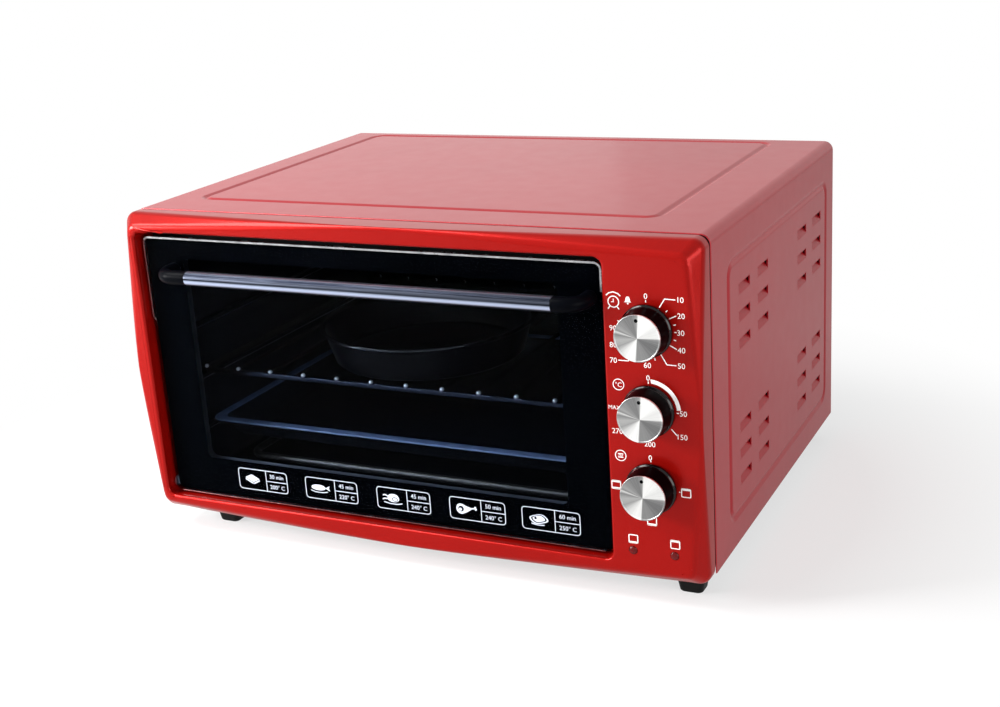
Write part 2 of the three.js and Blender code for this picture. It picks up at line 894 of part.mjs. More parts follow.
// Hinge pins, brackets and stay arms; side is -1 on the left and 1 on the right
function hingeSide(side) {
  const opening = side < 0 ? openingLeft : openingRight;
  const door = side < 0 ? doorLeft : doorRight;
  const frame = side < 0 ? doorFrameLeft : doorFrameRight;
  return { opening, door, frame };
}

/** Two numbers in rising order. */
function span(a, b) {
  return [Math.min(a, b), Math.max(a, b)];
}

function hingePin(side) {
  const { opening, door, frame } = hingeSide(side);
  const discIn = door + side * seat;
  const discOut = discIn + side * hingeDiscThickness;
  const tip = opening + side * (bezelWall + hingeBracketSpace + hingeBracketSheet + hingePinReach);
  const pin = bar(hingePinRadius, 'x', [0, hingeY, hingeZ], span(discIn, tip), smallSteps);
  const disc = bar(hingeDiscRadius, 'x', [0, hingeY, hingeZ], span(discIn, discOut), smallSteps);
  const arm = block(
    span(discOut, frame + side * seat),
    [glassBackY + seat, hingeY + hingeDiscRadius],
    [hingeZ - hingePinRadius, hingeZ + hingeArmHeight],
  );
  return join([pin, disc, arm]);
}

function hingeBracket(side) {
  const { opening } = hingeSide(side);
  const near = opening + side * (bezelWall + hingeBracketSpace);
  const far = near + side * hingeBracketSheet;
  const height = [hingeZ - hingeBracketHeight / 2, hingeZ + hingeBracketHeight / 2];
  const foot = far + side * hingeBracketFoot;
  const ear = block(span(near, far), [hingeY - hingePinRadius * 2, frameFrontY - seat], height);
  const base = block(span(near, foot), [frameFrontY - seat - hingeBracketSheet, frameFrontY - seat], height);
  const hole = bar(hingeHole, 'x', [0, hingeY, hingeZ], span(near - side * overrun, far + side * overrun),
    smallSteps);
  return join([ear, base]).subtract(hole);
}

function stayArm(x, side) {
  const start = Math.asin((doorFrameBackY + seat - hingeY) / stayRadius);
  const end = stayAngle + THREE.MathUtils.degToRad(staySweep);
  const inner = stayRadius - stayWidth / 2;
  const outer = stayRadius + stayWidth / 2;
  const ring = [];
  for (let i = 0; i <= staySteps; i += 1) {
    ring.push([outer, start + ((end - start) * i) / staySteps]);
  }
  for (let i = staySteps; i >= 0; i -= 1) {
    ring.push([inner, start + ((end - start) * i) / staySteps]);
  }
  const outline = ring.map(([r, angle]) => [hingeY + r * Math.sin(angle), hingeZ + r * Math.cos(angle)]);
  const arc = alongX(polygon(outline), [x, x + staySheet]);
  const keep = block(
    [x - overrun, x + staySheet + overrun],
    [doorFrameBackY + seat, hingeY + outer + overrun],
    [hingeZ - outer - overrun, hingeZ + outer + overrun],
  );
  const footX = side < 0 ? [x, x + stayFootWidth] : [x + staySheet - stayFootWidth, x + staySheet];
  const foot = block(
    footX,
    [doorFrameBackY + seat, doorFrameBackY + seat + staySheet],
    [stayZ - stayFootHeight / 2, stayZ + stayFootHeight / 2],
  );
  return join([arc.intersect(keep), foot]);
}

// Handle: steel tube, two moulded ends and their screws
const handleTubeX = [handleLeftX + handleEndLength, handleRightX - handleEndLength + handleRadius];

function handleTube() {
  const bore = handleRadius - handleWall;
  const [from, to] = handleTubeX;
  const profile = [[bore, from], [handleRadius, from], [handleRadius, to], [bore, to], [bore, from]];
  return turned(profile, 'x', [0, handleY, handleZ], smallSteps);
}

function handleEnd(side) {
  const root = side < 0 ? handleLeftX : handleRightX;
  const start = side < 0 ? handleTubeX[0] - seat : handleTubeX[1] + seat;
  const foot = glassFrontY - seat;
  const corners = [
    new THREE.Vector3(start, handleY, handleZ),
    new THREE.Vector3(root, handleY, handleZ),
    new THREE.Vector3(root, foot, handleZ),
  ];
  const elbow = rod(bentRoute(corners, handleBend, arcSteps), handleRadius, smallSteps / 2);
  const plugRadius = handleRadius - handleWall - seat;
  const plug = bar(plugRadius, 'x', [0, handleY, handleZ],
    span(start + side * seat, start - side * handlePlug), wireSteps);
  const hole = bar(handleScrewRadius + seat, 'y', [root, 0, handleZ],
    [foot - handleScrewReach, foot + overrun], wireSteps);
  return join([elbow, plug]).subtract(hole);
}

function handleScrew(x) {
  const under = glassBackY + seat;
  const tip = glassFrontY - handleScrewReach + seat;
  const profile = [[0, tip], [handleScrewRadius, tip], [handleScrewRadius, under], [handleScrewHead, under],
    [handleScrewHead, under + handleScrewHeadHeight], [0, under + handleScrewHeadHeight]];
  return turned(profile, 'y', [x, 0, handleZ], smallSteps);
}

// Knobs with their metal discs and shafts
const discBackY = knobFrontY + discThickness;
const knobBoreEndY = discBackY + seat + knobBoreRest;

function knob(z) {
  const back = frontY - knobGap;
  const front = discBackY + seat;
  const bore = shaftRadius + seat;
  const profile = [
    [0, front],
    [knobFaceRadius, front],
    [knobNeckRadius, back - knobRimLength - seat],
    [knobBaseRadius - 2 * seat, back - knobRimLength],
    [knobBaseRadius, back - knobRimLength + 2 * seat],
    [knobBaseRadius, back],
    [bore, back],
    [bore, knobBoreEndY],
    [0, knobBoreEndY],
  ];
  return turned(profile, 'y', [knobX, 0, z], knobSteps);
}

function knobDisc(z) {
  const face = knobFrontY + discRimHeight;
  const profile = [
    [0, face],
    [knobFaceRadius - discRim, face],
    [knobFaceRadius - discRim, knobFrontY],
    [knobFaceRadius, knobFrontY],
    [knobFaceRadius, discBackY],
    [0, discBackY],
  ];
  return turned(profile, 'y', [knobX, 0, z], knobSteps);
}

function shaft(z) {
  return bar(shaftRadius, 'y', [knobX, 0, z], [knobBoreEndY + seat, frameBackY + shaftSeatDepth], smallSteps);
}

/** The blind hole in the front of a control, for its shaft. */
function shaftHole(z) {
  return bar(shaftRadius + seat, 'y', [knobX, 0, z],
    [frameBackY - overrun, frameBackY + shaftSeatDepth + seat], smallSteps);
}

// Controls behind the front frame
function timerBody(z) {
  const side = timerSize / 2;
  const box = block([knobX - side, knobX + side], [frameBackY, frameBackY + timerDepth],
    [z - side, z + side]);
  return box.subtract(shaftHole(z));
}

function timerBell(z) {
  const back = frameBackY + timerDepth + seat;
  const tip = back + bellHeight;
  const profile = [
    [0, back],
    [bellRadius * (1 - bellShoulderShare), back],
    [bellRadius * (1 - bellShoulderShare), tip - bellSheet],
    [bellRadius * bellShoulderShare, tip - bellSheet],
    [bellRadius - bellSheet, back + bellSheet],
    [bellRadius, back + bellSheet],
    [bellRadius * bellShoulderShare + bellSheet, tip],
    [0, tip],
  ];
  return turned(profile, 'y', [knobX, 0, z], smallSteps);
}

function thermostatBody(z) {
  const side = thermostatSize / 2;
  const box = block([knobX - side, knobX + side], [frameBackY, frameBackY + thermostatDepth],
    [z - side, z + side]);
  return box.subtract(shaftHole(z));
}

/** Bulb inside the cavity and the thin tube that joins it to the thermostat. */
function thermostatBulb(z) {
  const startY = frameBackY + thermostatDepth + seat;
  const bulbX = cavityRight - bulbRadius - seat;
  const corners = [
    new THREE.Vector3(knobX, startY, z),
    new THREE.Vector3(knobX, bulbBack, z),
    new THREE.Vector3(knobX, bulbBack, bulbZ),
    new THREE.Vector3(bulbX, bulbBack, bulbZ),
  ];
  const tube = rod(bentRoute(corners, capillaryBend, arcSteps), capillaryRadius, arcSteps);
  const bulb = bar(bulbRadius, 'y', [bulbX, 0, bulbZ],
    [bulbBack - bulbRadius, bulbBack + bulbLength], wireSteps);
  return join([tube, bulb]);
}

function selectorBody(z) {
  const drum = bar(selectorRadius, 'y', [knobX, 0, z], [frameBackY, frameBackY + selectorDepth], smallSteps);
  return drum.subtract(shaftHole(z));
}

function lamp(x) {
  const wallBack = frontY + bezelWall + seat;
  const domeEdge = lampRadius - lampDome;
  const profile = [
    [0, frontY - lampDome],
    [domeEdge, frontY - lampDome],
    [lampRadius, frontY],
    [lampRadius, wallBack],
    [lampRadius + lampFlange, wallBack],
    [lampRadius + lampFlange, wallBack + lampFlangeThickness],
    [lampRadius, wallBack + lampFlangeThickness],
    [lampRadius, wallBack + lampLength],
    [0, wallBack + lampLength],
  ];
  return turned(profile, 'y', [x, 0, lampRise], smallSteps);
}

// Wire rack: a frame of rails with thinner wires welded on top
const rackZ = guideTops[1] + seat + rackRailRadius;
const rackBack = cavityBack - rackRearSpace;
const rackX = [cavityLeft + rackSideSpace + rackRailRadius, cavityRight - rackSideSpace - rackRailRadius];
const wireZ = rackZ + rackRailRadius + rackWireRadius - rackWireSink;

function rack() {
  const rails = [rackFront, rackBack].map((y) => bar(
    rackRailRadius, 'x', [0, y, rackZ], [rackX[0] - rackRailRadius, rackX[1] + rackRailRadius], wireSteps,
  ));
  const sides = rackX.map((x) => bar(rackRailRadius, 'y', [x, 0, rackZ], [rackFront, rackBack], wireSteps));
  const first = rackX[0] + rackWireInset;
  const last = rackX[1] - rackWireInset;
  const wires = Array.from({ length: rackWireCount }, (_, k) => {
    const x = first + ((last - first) * k) / (rackWireCount - 1);
    return bar(rackWireRadius, 'y', [x, 0, wireZ],
      [rackFront - rackRailRadius, rackBack + rackRailRadius], wireSteps);
  });
  return join([...rails, ...sides, ...wires]);
}

function pan() {
  const base = wireZ + rackWireRadius + seat;
  const rim = base + panHeight;
  const profile = [
    [0, base],
    [panBaseRadius - panWall, base],
    [panBaseRadius + panWall, base + 2 * panWall],
    [panRadius - panLip, rim - panLipHeight],
    [panRadius, rim - panLipHeight],
    [panRadius, rim],
    [panRadius - panLip - panWall, rim],
    [panBaseRadius - panWall, base + 2 * panWall],
    [panBaseRadius - 2 * panWall, base + panWall],
    [0, base + panWall],
  ];
  return turned(profile, 'z', [panCentreX, panCentreY, 0], panSteps);
}

/** A round rectangle as a ring of points at one height. */
function levelRing([x0, x1], [y0, y1], radius, z) {
  const points = roundRect([x0, x1], [y0, y1], radius).extractPoints(arcSteps).shape;
  return points.map((point) => [point.x, point.y, z]);
}

function tray() {
  const rimBottom = guideTops[0] + seat;
  const rimTop = rimBottom + trayLipHeight;
  const floor = rimTop - trayDepth;
  const x = [cavityLeft + traySideSpace, cavityRight - traySideSpace];
  const y = [trayFront, cavityBack - trayRearSpace];
  const shrink = (pair, by) => [pair[0] + by, pair[1] - by];
  const rim = loft([
    levelRing(x, y, trayCorner, rimBottom),
    levelRing(x, y, trayCorner, rimTop),
  ]);
  const tub = loft([
    levelRing(shrink(x, trayLip + trayTaper), shrink(y, trayLip + trayTaper), trayCorner, floor),
    levelRing(shrink(x, trayLip), shrink(y, trayLip), trayCorner, rimTop),
  ]);
  const hollow = loft([
    levelRing(shrink(x, trayLip + trayTaper + traySheet), shrink(y, trayLip + trayTaper + traySheet),
      trayCorner - traySheet, floor + traySheet),
    levelRing(shrink(x, trayLip + traySheet), shrink(y, trayLip + traySheet),
      trayCorner - traySheet, rimTop + traySheet),
  ]);
  return join([rim, tub]).subtract(hollow);
}

// Base pan, rear cover, gland and feet
const rearFrontY = casingDepth - rearRecess - casingSheet;
const basePanFront = frameFrontY + frameFlange + seat;
const footPlaces = [
  ['front_left', -half + footLeftInset, footFront],
  ['front_right', half - footRightInset, footFront],
  ['rear_left', -half + footLeftInset, casingDepth - footRearSpace],
  ['rear_right', half - footRightInset, casingDepth - footRearSpace],
];
const baseLow = casingSheet;

function basePan() {
  const outer = block([-innerX, innerX], [basePanFront, rearFrontY - seat], [baseLow, baseLow + panFlange]);
  const hollow = block(
    [-innerX + casingSheet, innerX - casingSheet],
    [basePanFront - overrun, rearFrontY + overrun],
    [baseLow + casingSheet, baseLow + panFlange + overrun],
  );
  const holes = footPlaces.map(([, x, y]) => bar(
    footScrewRadius + seat, 'z', [x, y, 0], [baseLow - overrun, baseLow + casingSheet + overrun], wireSteps,
  ));
  return cut(outer, [hollow, ...holes]);
}

function rearCover() {
  const plate = block([-innerX, innerX], [rearFrontY, rearFrontY + casingSheet], [baseLow, innerTop]);
  const rim = block([-innerX, innerX], [rearFrontY - rearFlange, rearFrontY + casingSheet],
    [baseLow + panFlange + seat, innerTop]);
  const hollow = block(
    [-innerX + casingSheet, innerX - casingSheet],
    [rearFrontY - rearFlange - overrun, rearFrontY],
    [baseLow, innerTop - casingSheet],
  );
  const corners = [-1, 1].map((side) => {
    const edge = side * innerX;
    const keep = casingCorner - casingSheet - seat;
    const square = block(span(edge, edge - side * keep), [rearFrontY - 2 * rearFlange, casingDepth],
      [innerTop - keep, innerTop + overrun]);
    const round = bar(keep, 'y', [edge - side * keep, 0, innerTop - keep],
      [rearFrontY - 2 * rearFlange, casingDepth], smallSteps);
    return square.subtract(round);
  });
  const through = [rearFrontY - overrun, rearFrontY + casingSheet + overrun];
  const slots = [-rearSlotSpread, rearSlotSpread].flatMap((middle) => Array.from(
    { length: rearSlotRows },
    (_, row) => {
      const low = rearSlotRise + row * rearSlotPitch;
      const halfSlot = rearSlotLength / 2;
      return block([middle - halfSlot, middle + halfSlot], through, [low, low + rearSlotHeight]);
    },
  ));
  const gland = bar(glandRadius + seat, 'y', [half - glandInset, 0, glandRise], through, smallSteps);
  return cut(join([plate, rim.subtract(hollow)]), [...corners, ...slots, gland]);
}

function cordGland() {
  const inside = rearFrontY - seat;
  const outside = rearFrontY + casingSheet + seat;
  const rim = glandRadius + glandFlange;
  const profile = [
    [glandBore, inside - glandIn],
    [rim, inside - glandIn],
    [rim, inside],
    [glandRadius, inside],
    [glandRadius, outside],
    [rim, outside],
    [rim, outside + glandNeck],
    [glandRadius, outside + glandNeck],
    [glandBore + glandNeck / 2, outside + glandOut],
    [glandBore, outside + glandOut],
    [glandBore, inside - glandIn],
  ];
  return turned(profile, 'y', [half - glandInset, 0, glandRise], smallSteps);
}

function foot(x, y) {
  const ring = (width, depth, z) => levelRing(
    [x - width / 2, x + width / 2], [y - depth / 2, y + depth / 2], footCorner, z,
  );
  const body = loft([
    ring(footBottomWidth, footBottomDepth, -footHeight),
    ring(footTopWidth, footTopDepth, baseLow),
  ]);
  const recess = bar(footScrewHead + 2 * seat, 'z', [x, y, 0],
    [-footHeight - overrun, -footHeight + footRecess], smallSteps);
  const hole = bar(footScrewRadius + seat, 'z', [x, y, 0], [-footHeight, baseLow + overrun], wireSteps);
  return cut(body, [recess, hole]);
}

function footScrew(x, y) {
  const under = -footHeight + footRecess - seat;
  const low = under - footScrewHeadHeight;
  const tip = baseLow + casingSheet + footScrewReach;
  const profile = [[0, low], [footScrewHead, low], [footScrewHead, under], [footScrewRadius, under],
    [footScrewRadius, tip], [0, tip]];
  return turned(profile, 'z', [x, y, 0], wireSteps);
}

// Put the pieces together
piece('casing_wrapper', wrapper(), redSatin);
piece('base_pan', basePan(), galvanised);
piece('rear_cover', rearCover(), galvanised);
piece('cord_gland', cordGland(), blackPlastic);
piece('front_frame', frontFrame(), galvanised);
piece('front_bezel', bezel(), redGloss);
piece('oven_liner', liner(), enamel);
piece('upper_heater', heater(heaterHeights[0]), heaterSteel);
piece('lower_heater', heater(heaterHeights[1]), heaterSteel);
['upper', 'lower'].forEach((level, row) => {
  ['front', 'rear'].forEach((end, column) => {
    piece(`${level}_${end}_bushing`, bushing(terminalsY[column], heaterHeights[row]), ceramic);
  });
});

piece('door_glass', doorGlass(), blackGlass);
piece('door_frame', doorFrame(), steel);
piece('door_inner_glass', innerGlass(), clearGlass);
piece('handle_tube', handleTube(), brightSteel);
const doorSides = [['left', -1, handleLeftX, stayLeftX], ['right', 1, handleRightX, stayRightX]];
doorSides.forEach(([word, side, x, stay]) => {
  piece(`${word}_handle_end`, handleEnd(side), blackPlastic);
  piece(`${word}_handle_screw`, handleScrew(x), steel);
  piece(`${word}_hinge_pin`, hingePin(side), steel);
  piece(`${word}_hinge_bracket`, hingeBracket(side), galvanised);
  piece(`${word}_stay_arm`, stayArm(stay, side), steel);
});

['timer', 'thermostat', 'selector'].forEach((word, row) => {
  piece(`${word}_knob`, knob(controlHeights[row]), blackPlastic);
  piece(`${word}_knob_disc`, knobDisc(controlHeights[row]), spunMetal);
  piece(`${word}_shaft`, shaft(controlHeights[row]), steel);
});
piece('timer_body', timerBody(controlHeights[0]), galvanised);
piece('timer_bell', timerBell(controlHeights[0]), brass);
piece('thermostat_body', thermostatBody(controlHeights[1]), galvanised);
piece('thermostat_bulb', thermostatBulb(controlHeights[1]), brass);
piece('selector_body', selectorBody(controlHeights[2]), ceramic);
piece('left_lamp', lamp(knobX - lampSpread), redLens);
piece('right_lamp', lamp(knobX + lampSpread), redLens);

piece('wire_rack', rack(), brightSteel);
piece('round_pan', pan(), enamel);
piece('baking_tray', tray(), enamel);
footPlaces.forEach(([word, x, y]) => {
  piece(`${word}_foot`, foot(x, y), blackPlastic);
  piece(`${word}_foot_screw`, footScrew(x, y), steel);
});

// Origin on the table, under the middle of the whole outline
const rearmost = rearFrontY + casingSheet + seat + glandOut;
const foremost = Math.min(knobFrontY, handleY - handleRadius);
oven.position.set(0, -(foremost + rearmost) / 2, footHeight);
oven.updateMatrixWorld(true);

export default oven;
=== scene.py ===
"""Looks of the mini oven: paints, glass, metal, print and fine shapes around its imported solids.

Sizes and places of the pieces are millimetres from the casing's own origin: the middle of its
width, the seam behind the bezel and its underside. Shapes turn them into metres of the frame.
The studio's places are metres of the frame, and noise is counted in cells per metre.
"""

from __future__ import annotations

import json
import logging
import math
from dataclasses import dataclass, field
from enum import Enum
from typing import Callable, Sequence

import bmesh
import bpy
import numpy as np
from bpy.types import ID, Material, Node, NodeSocket, NodeTree, Object, World
from mathutils import Matrix, Vector
from mathutils.geometry import tessellate_polygon

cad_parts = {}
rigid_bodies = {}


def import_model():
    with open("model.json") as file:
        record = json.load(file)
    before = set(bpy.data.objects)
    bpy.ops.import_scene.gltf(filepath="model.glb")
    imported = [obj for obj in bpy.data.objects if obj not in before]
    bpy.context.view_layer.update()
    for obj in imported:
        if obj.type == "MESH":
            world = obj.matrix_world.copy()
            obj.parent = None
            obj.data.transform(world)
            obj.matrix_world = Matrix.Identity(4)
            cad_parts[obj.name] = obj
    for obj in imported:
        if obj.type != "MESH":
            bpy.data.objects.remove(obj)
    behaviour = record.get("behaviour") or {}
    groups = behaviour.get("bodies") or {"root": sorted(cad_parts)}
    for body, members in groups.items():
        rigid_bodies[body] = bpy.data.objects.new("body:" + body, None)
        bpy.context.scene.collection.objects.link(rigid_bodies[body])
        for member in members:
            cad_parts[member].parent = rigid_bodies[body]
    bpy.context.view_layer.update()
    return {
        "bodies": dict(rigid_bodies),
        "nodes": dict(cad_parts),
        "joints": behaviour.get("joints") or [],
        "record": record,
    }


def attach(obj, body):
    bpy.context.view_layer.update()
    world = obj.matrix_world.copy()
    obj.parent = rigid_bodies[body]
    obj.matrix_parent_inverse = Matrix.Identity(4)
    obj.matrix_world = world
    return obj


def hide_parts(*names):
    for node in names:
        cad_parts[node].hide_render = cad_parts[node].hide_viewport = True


LOG = logging.getLogger("mini_oven")
MM = 0.001
CASING_ORIGIN = (0.0, -161.9, 21.0)

# The front's face in y, the knobs and lamps on it in x and z, the handle's axis in y and z, and its feet in x
FACE = -26.0
KNOB_X = 210.4
KNOB_HEIGHTS = (195.0, 135.0, 75.0)
LAMPS_X = (194.2, 226.6)
LAMPS_Z = 23.0
HANDLE_AXIS = (-40.0, 214.0)
HANDLE_ROOTS = (-202.5, 165.2)
# The radius that a disc's polar map counts as 1, and the lathe rings over it
POLAR_REACH = 20.0
LATHE_RINGS = 170.0
# Points nearer than this are joined, and edges shorter than this are dropped
WELD = 0.004
SLIVER = 0.002
# A capital's height as a share of the font's size, and the sharpest mitre of a drawn line
CAPITAL = 0.73
LEAST_MITRE = 0.4

Point = tuple[float, float, float]
Flat = tuple[float, float]
Colour = tuple[float, float, float]
Area = tuple[float, float, float, float]


class Body(Enum):
    """The moving bodies of the oven."""

    CASING = "casing"
    DOOR = "door"
    TIMER = "timer_dial"
    THERMOSTAT = "thermostat_dial"
    SELECTOR = "selector_dial"
    RACK = "rack"
    TRAY = "tray"


class Slot(Enum):
    """The record's finish slots, named when a drawn piece is placed."""

    RED_SATIN = "red_satin"
    RED_GLOSS = "red_gloss"
    GALVANISED = "galvanised"
    BRIGHT_STEEL = "bright_steel"
    STEEL = "steel"
    SPUN_METAL = "spun_metal"
    ENAMEL = "enamel"
    HEATER_STEEL = "heater_steel"
    BLACK_PLASTIC = "black_plastic"
    RED_LENS = "red_lens"
    OUTER_GLASS = "outer_glass"


def framed(x: float, y: float, z: float) -> Point:
    """A casing point in millimetres as a point of the frame in metres."""
    ox, oy, oz = CASING_ORIGIN
    return ((x + ox) * MM, (y + oy) * MM, (z + oz) * MM)


def linear(red: int, green: int, blue: int) -> Colour:
    """A colour read as 0 to 255 in sRGB, turned linear."""

    def one(value: int) -> float:
        share = value / 255
        return share / 12.92 if share <= 0.04045 else ((share + 0.055) / 1.055) ** 2.4

    return (one(red), one(green), one(blue))


def add_node(tree: NodeTree, kind: str, values: dict | None, settings: dict) -> Node:
    """Add a node to a tree.

    Args:
        tree: where it goes.
        kind: the node's type.
        values: a number, colour or socket for each input by name or number.
        settings: the node's own properties.

    Returns:
        The new node.
    """
    made = tree.nodes.new(kind)
    for key, value in settings.items():
        setattr(made, key, value)
    for key, value in (values or {}).items():
        socket = made.inputs[key]
        if isinstance(value, NodeSocket):
            tree.links.new(value, socket)
        elif socket.type == "RGBA" and len(value) == 3:
            socket.default_value = (*value, 1.0)
        else:
            socket.default_value = value
    return made


def placed(name: str, data: ID) -> Object:
    """A new object in the scene that holds the data."""
    made = bpy.data.objects.new(name, data)
    bpy.context.scene.collection.objects.link(made)
    return made


# Finishes


class Shader:
    """The node tree of one material or world, filled in by short calls."""

    def __init__(self, owner: Material | World) -> None:
        """Start an empty tree.

        Args:
            owner: the material or world.
        """
        owner.use_nodes = True
        self.owner = owner
        self.tree = owner.node_tree
        self.tree.nodes.clear()
        self.place = self.node("ShaderNodeTexCoord").outputs["Object"]

    def node(self, kind: str, values: dict | None = None, **settings: object) -> Node:
        """Add a node to this tree."""
        return add_node(self.tree, kind, values, settings)

    def stretched(self, scale: Point) -> NodeSocket:
        """Object coordinates scaled along each axis."""
        return self.node("ShaderNodeMapping", {"Vector": self.place, "Scale": scale}).outputs["Vector"]

    def noise(
        self,
        scale: float,
        detail: float = 2.0,
        place: NodeSocket | None = None,
        roughness: float = 0.5,
    ) -> NodeSocket:
        """Smooth noise from 0 to 1 with a number of cells per metre and octaves on top."""
        values = {"Vector": place or self.place, "Scale": scale, "Detail": detail, "Roughness": roughness}
        return self.node("ShaderNodeTexNoise", values).outputs["Fac"]

    def cells(self, scale: float, output: str = "Distance") -> NodeSocket:
        """Cell pattern of a number of cells per metre."""
        values = {"Vector": self.place, "Scale": scale}
        return self.node("ShaderNodeTexVoronoi", values).outputs[output]

    def cell_tone(self, scale: float, part: str) -> NodeSocket:
        """A tone for each cell, from one part of its random colour."""
        return self.node("ShaderNodeSeparateColor", {"Color": self.cells(scale, "Color")}).outputs[part]

    def ranged(
        self,
        value: NodeSocket,
        low: float,
        high: float,
        start: float = 0.0,
        end: float = 1.0,
    ) -> NodeSocket:
        """Spread a value read from start to end over low to high, and hold it there."""
        values = {"Value": value, "From Min": start, "From Max": end, "To Min": low, "To Max": high}
        return self.node("ShaderNodeMapRange", values).outputs["Result"]

    def blend(self, share: NodeSocket, first: object, second: object) -> NodeSocket:
        """Mix two colours or sockets by the share of the second."""
        made = self.node("ShaderNodeMix", {0: share, 6: first, 7: second}, data_type="RGBA")
        return made.outputs[2]

    def steps(self, value: NodeSocket, stops: Sequence[Flat]) -> NodeSocket:
        """Read a tone from a row of stops.

        Args:
            value: where to read, from 0 to 1.
            stops: place and tone pairs, in order.

        Returns:
            The tone.
        """
        ramp = self.node("ShaderNodeValToRGB", {"Fac": value})
        places = ramp.color_ramp.elements
        while len(places) < len(stops):
            places.new(1.0)
        for element, (place, tone) in zip(places, stops):
            element.position, element.color = place, (tone, tone, tone, 1.0)
        return ramp.outputs["Color"]

    def maths(self, operation: str, first: object, second: object = 0.0) -> NodeSocket:
        """One arithmetic step on two values."""
        return self.node("ShaderNodeMath", {0: first, 1: second}, operation=operation).outputs[0]

    def bump(
        self,
        height: NodeSocket,
        distance: float,
        strength: float = 1.0,
        under: NodeSocket | None = None,
    ) -> NodeSocket:
        """Turn a height into a shading normal.

        Args:
            height: value from 0 to 1.
            distance: real height in millimetres.
            strength: how much of it shows.
            under: a normal that this one adds to.

        Returns:
            The normal.
        """
        values = {"Height": height, "Distance": distance * MM, "Strength": strength}
        if under is not None:
            values["Normal"] = under
        return self.node("ShaderNodeBump", values).outputs["Normal"]

    def surface(self, values: dict) -> Material:
        """Close the tree with one principled surface of these inputs."""
        return self.end(self.node("ShaderNodeBsdfPrincipled", values).outputs["BSDF"])

    def end(self, shader: NodeSocket) -> Material:
        """Join a shader to the output and give the material."""
        self.node("ShaderNodeOutputMaterial", {"Surface": shader})
        return self.owner


@dataclass(frozen=True)
class Finish:
    """One surface finish, made as a material the first time that it is asked for."""

    name: str

    def material(self) -> Material:
        """The finish's material."""
        found = bpy.data.materials.get(self.name)
        return found if found is not None else self.mix(Shader(bpy.data.materials.new(self.name)))

    def mix(self, shader: Shader) -> Material:
        """Fill in the material's nodes; each finish has its own way."""
        raise NotImplementedError


@dataclass(frozen=True)
class Paint(Finish):
    """Sprayed red paint with fine metal flake and a faint orange-peel surface."""

    colour: Colour
    shade: Colour
    metallic: float
    roughness: float
    specular: float
    coat: float
    peel: float
    grain: float

    def mix(self, shader: Shader) -> Material:
        """Flake in the colour, cloud in the tone, peel and grain in the surface."""
        cloud = shader.noise(9.0, 2.0)
        spark = shader.cell_tone(4200.0, "Red")
        tone = shader.maths("ADD", shader.ranged(cloud, 0.0, 0.5), shader.ranged(spark, 0.0, 0.5))
        colour = shader.blend(tone, self.shade, self.colour)
        peel = shader.bump(shader.noise(300.0, 1.0), self.peel)
        grain = shader.bump(shader.noise(3600.0, 2.0), self.grain, 0.7, peel)
        dust = shader.ranged(shader.noise(60.0, 4.0), -0.03, 0.04)
        return shader.surface({
            "Base Color": colour,
            "Metallic": self.metallic,
            "Roughness": shader.maths("ADD", dust, self.roughness),
            "Specular IOR Level": self.specular,
            "Coat Weight": self.coat,
            "Coat Roughness": 0.16,
            "Normal": grain,
        })


@dataclass(frozen=True)
class Metal(Finish):
    """Bare metal with brush lines along one axis and faint smears."""

    colour: Colour
    shade: Colour
    roughness: float
    brush: Point
    depth: float

    def mix(self, shader: Shader) -> Material:
        """Brush lines in tone, roughness and height."""
        lines = shader.noise(1.0, 3.0, shader.stretched(self.brush), 0.7)
        smear = shader.noise(24.0, 3.0)
        colour = shader.blend(shader.ranged(lines, 0.0, 1.0, 0.25, 0.75), self.shade, self.colour)
        spread = shader.maths("ADD", shader.ranged(lines, -0.06, 0.06), shader.ranged(smear, -0.03, 0.05))
        return shader.surface({
            "Base Color": colour,
            "Metallic": 1.0,
            "Roughness": shader.maths("ADD", spread, self.roughness),
            "Normal": shader.bump(lines, self.depth),
        })


@dataclass(frozen=True)
class Spangle(Finish):
    """Galvanised sheet: large dull crystals with small ones between."""

    colour: Colour
    shade: Colour
    roughness: float

    def mix(self, shader: Shader) -> Material:
        """Crystal cells in tone and roughness."""
        large = shader.cell_tone(120.0, "Red")
        small = shader.cell_tone(420.0, "Green")
        tone = shader.maths("ADD", shader.ranged(large, 0.0, 0.6), shader.ranged(small, 0.0, 0.4))
        return shader.surface({
            "Base Color": shader.blend(tone, self.shade, self.colour),
            "Metallic": 0.9,
            "Roughness": shader.ranged(tone, self.roughness - 0.08, self.roughness + 0.1),
            "Normal": shader.bump(shader.noise(900.0, 2.0), 0.01),
        })


@dataclass(frozen=True)
class Enamel(Finish):
    """Dark vitreous enamel with tiny pale specks and a wavy glassy skin."""

    colour: Colour
    speck: Colour
    roughness: float
    specular: float = 0.5

    def mix(self, shader: Shader) -> Material:
        """Specks in the colour, slow waves in the skin."""
        near = shader.cells(650.0)
        speck = shader.ranged(near, 1.0, 0.0, 0.05, 0.16)
        cloud = shader.ranged(shader.noise(80.0, 3.0), 0.6, 1.2)
        ground = shader.blend(cloud, (0.0, 0.0, 0.0), self.colour)
        return shader.surface({
            "Base Color": shader.blend(shader.maths("MULTIPLY", speck, 0.55), ground, self.speck),
            "Roughness": shader.ranged(shader.noise(50.0, 2.0), self.roughness - 0.04, self.roughness + 0.06),
            "Specular IOR Level": self.specular,
            "Normal": shader.bump(shader.noise(160.0, 1.0), 0.05),
        })


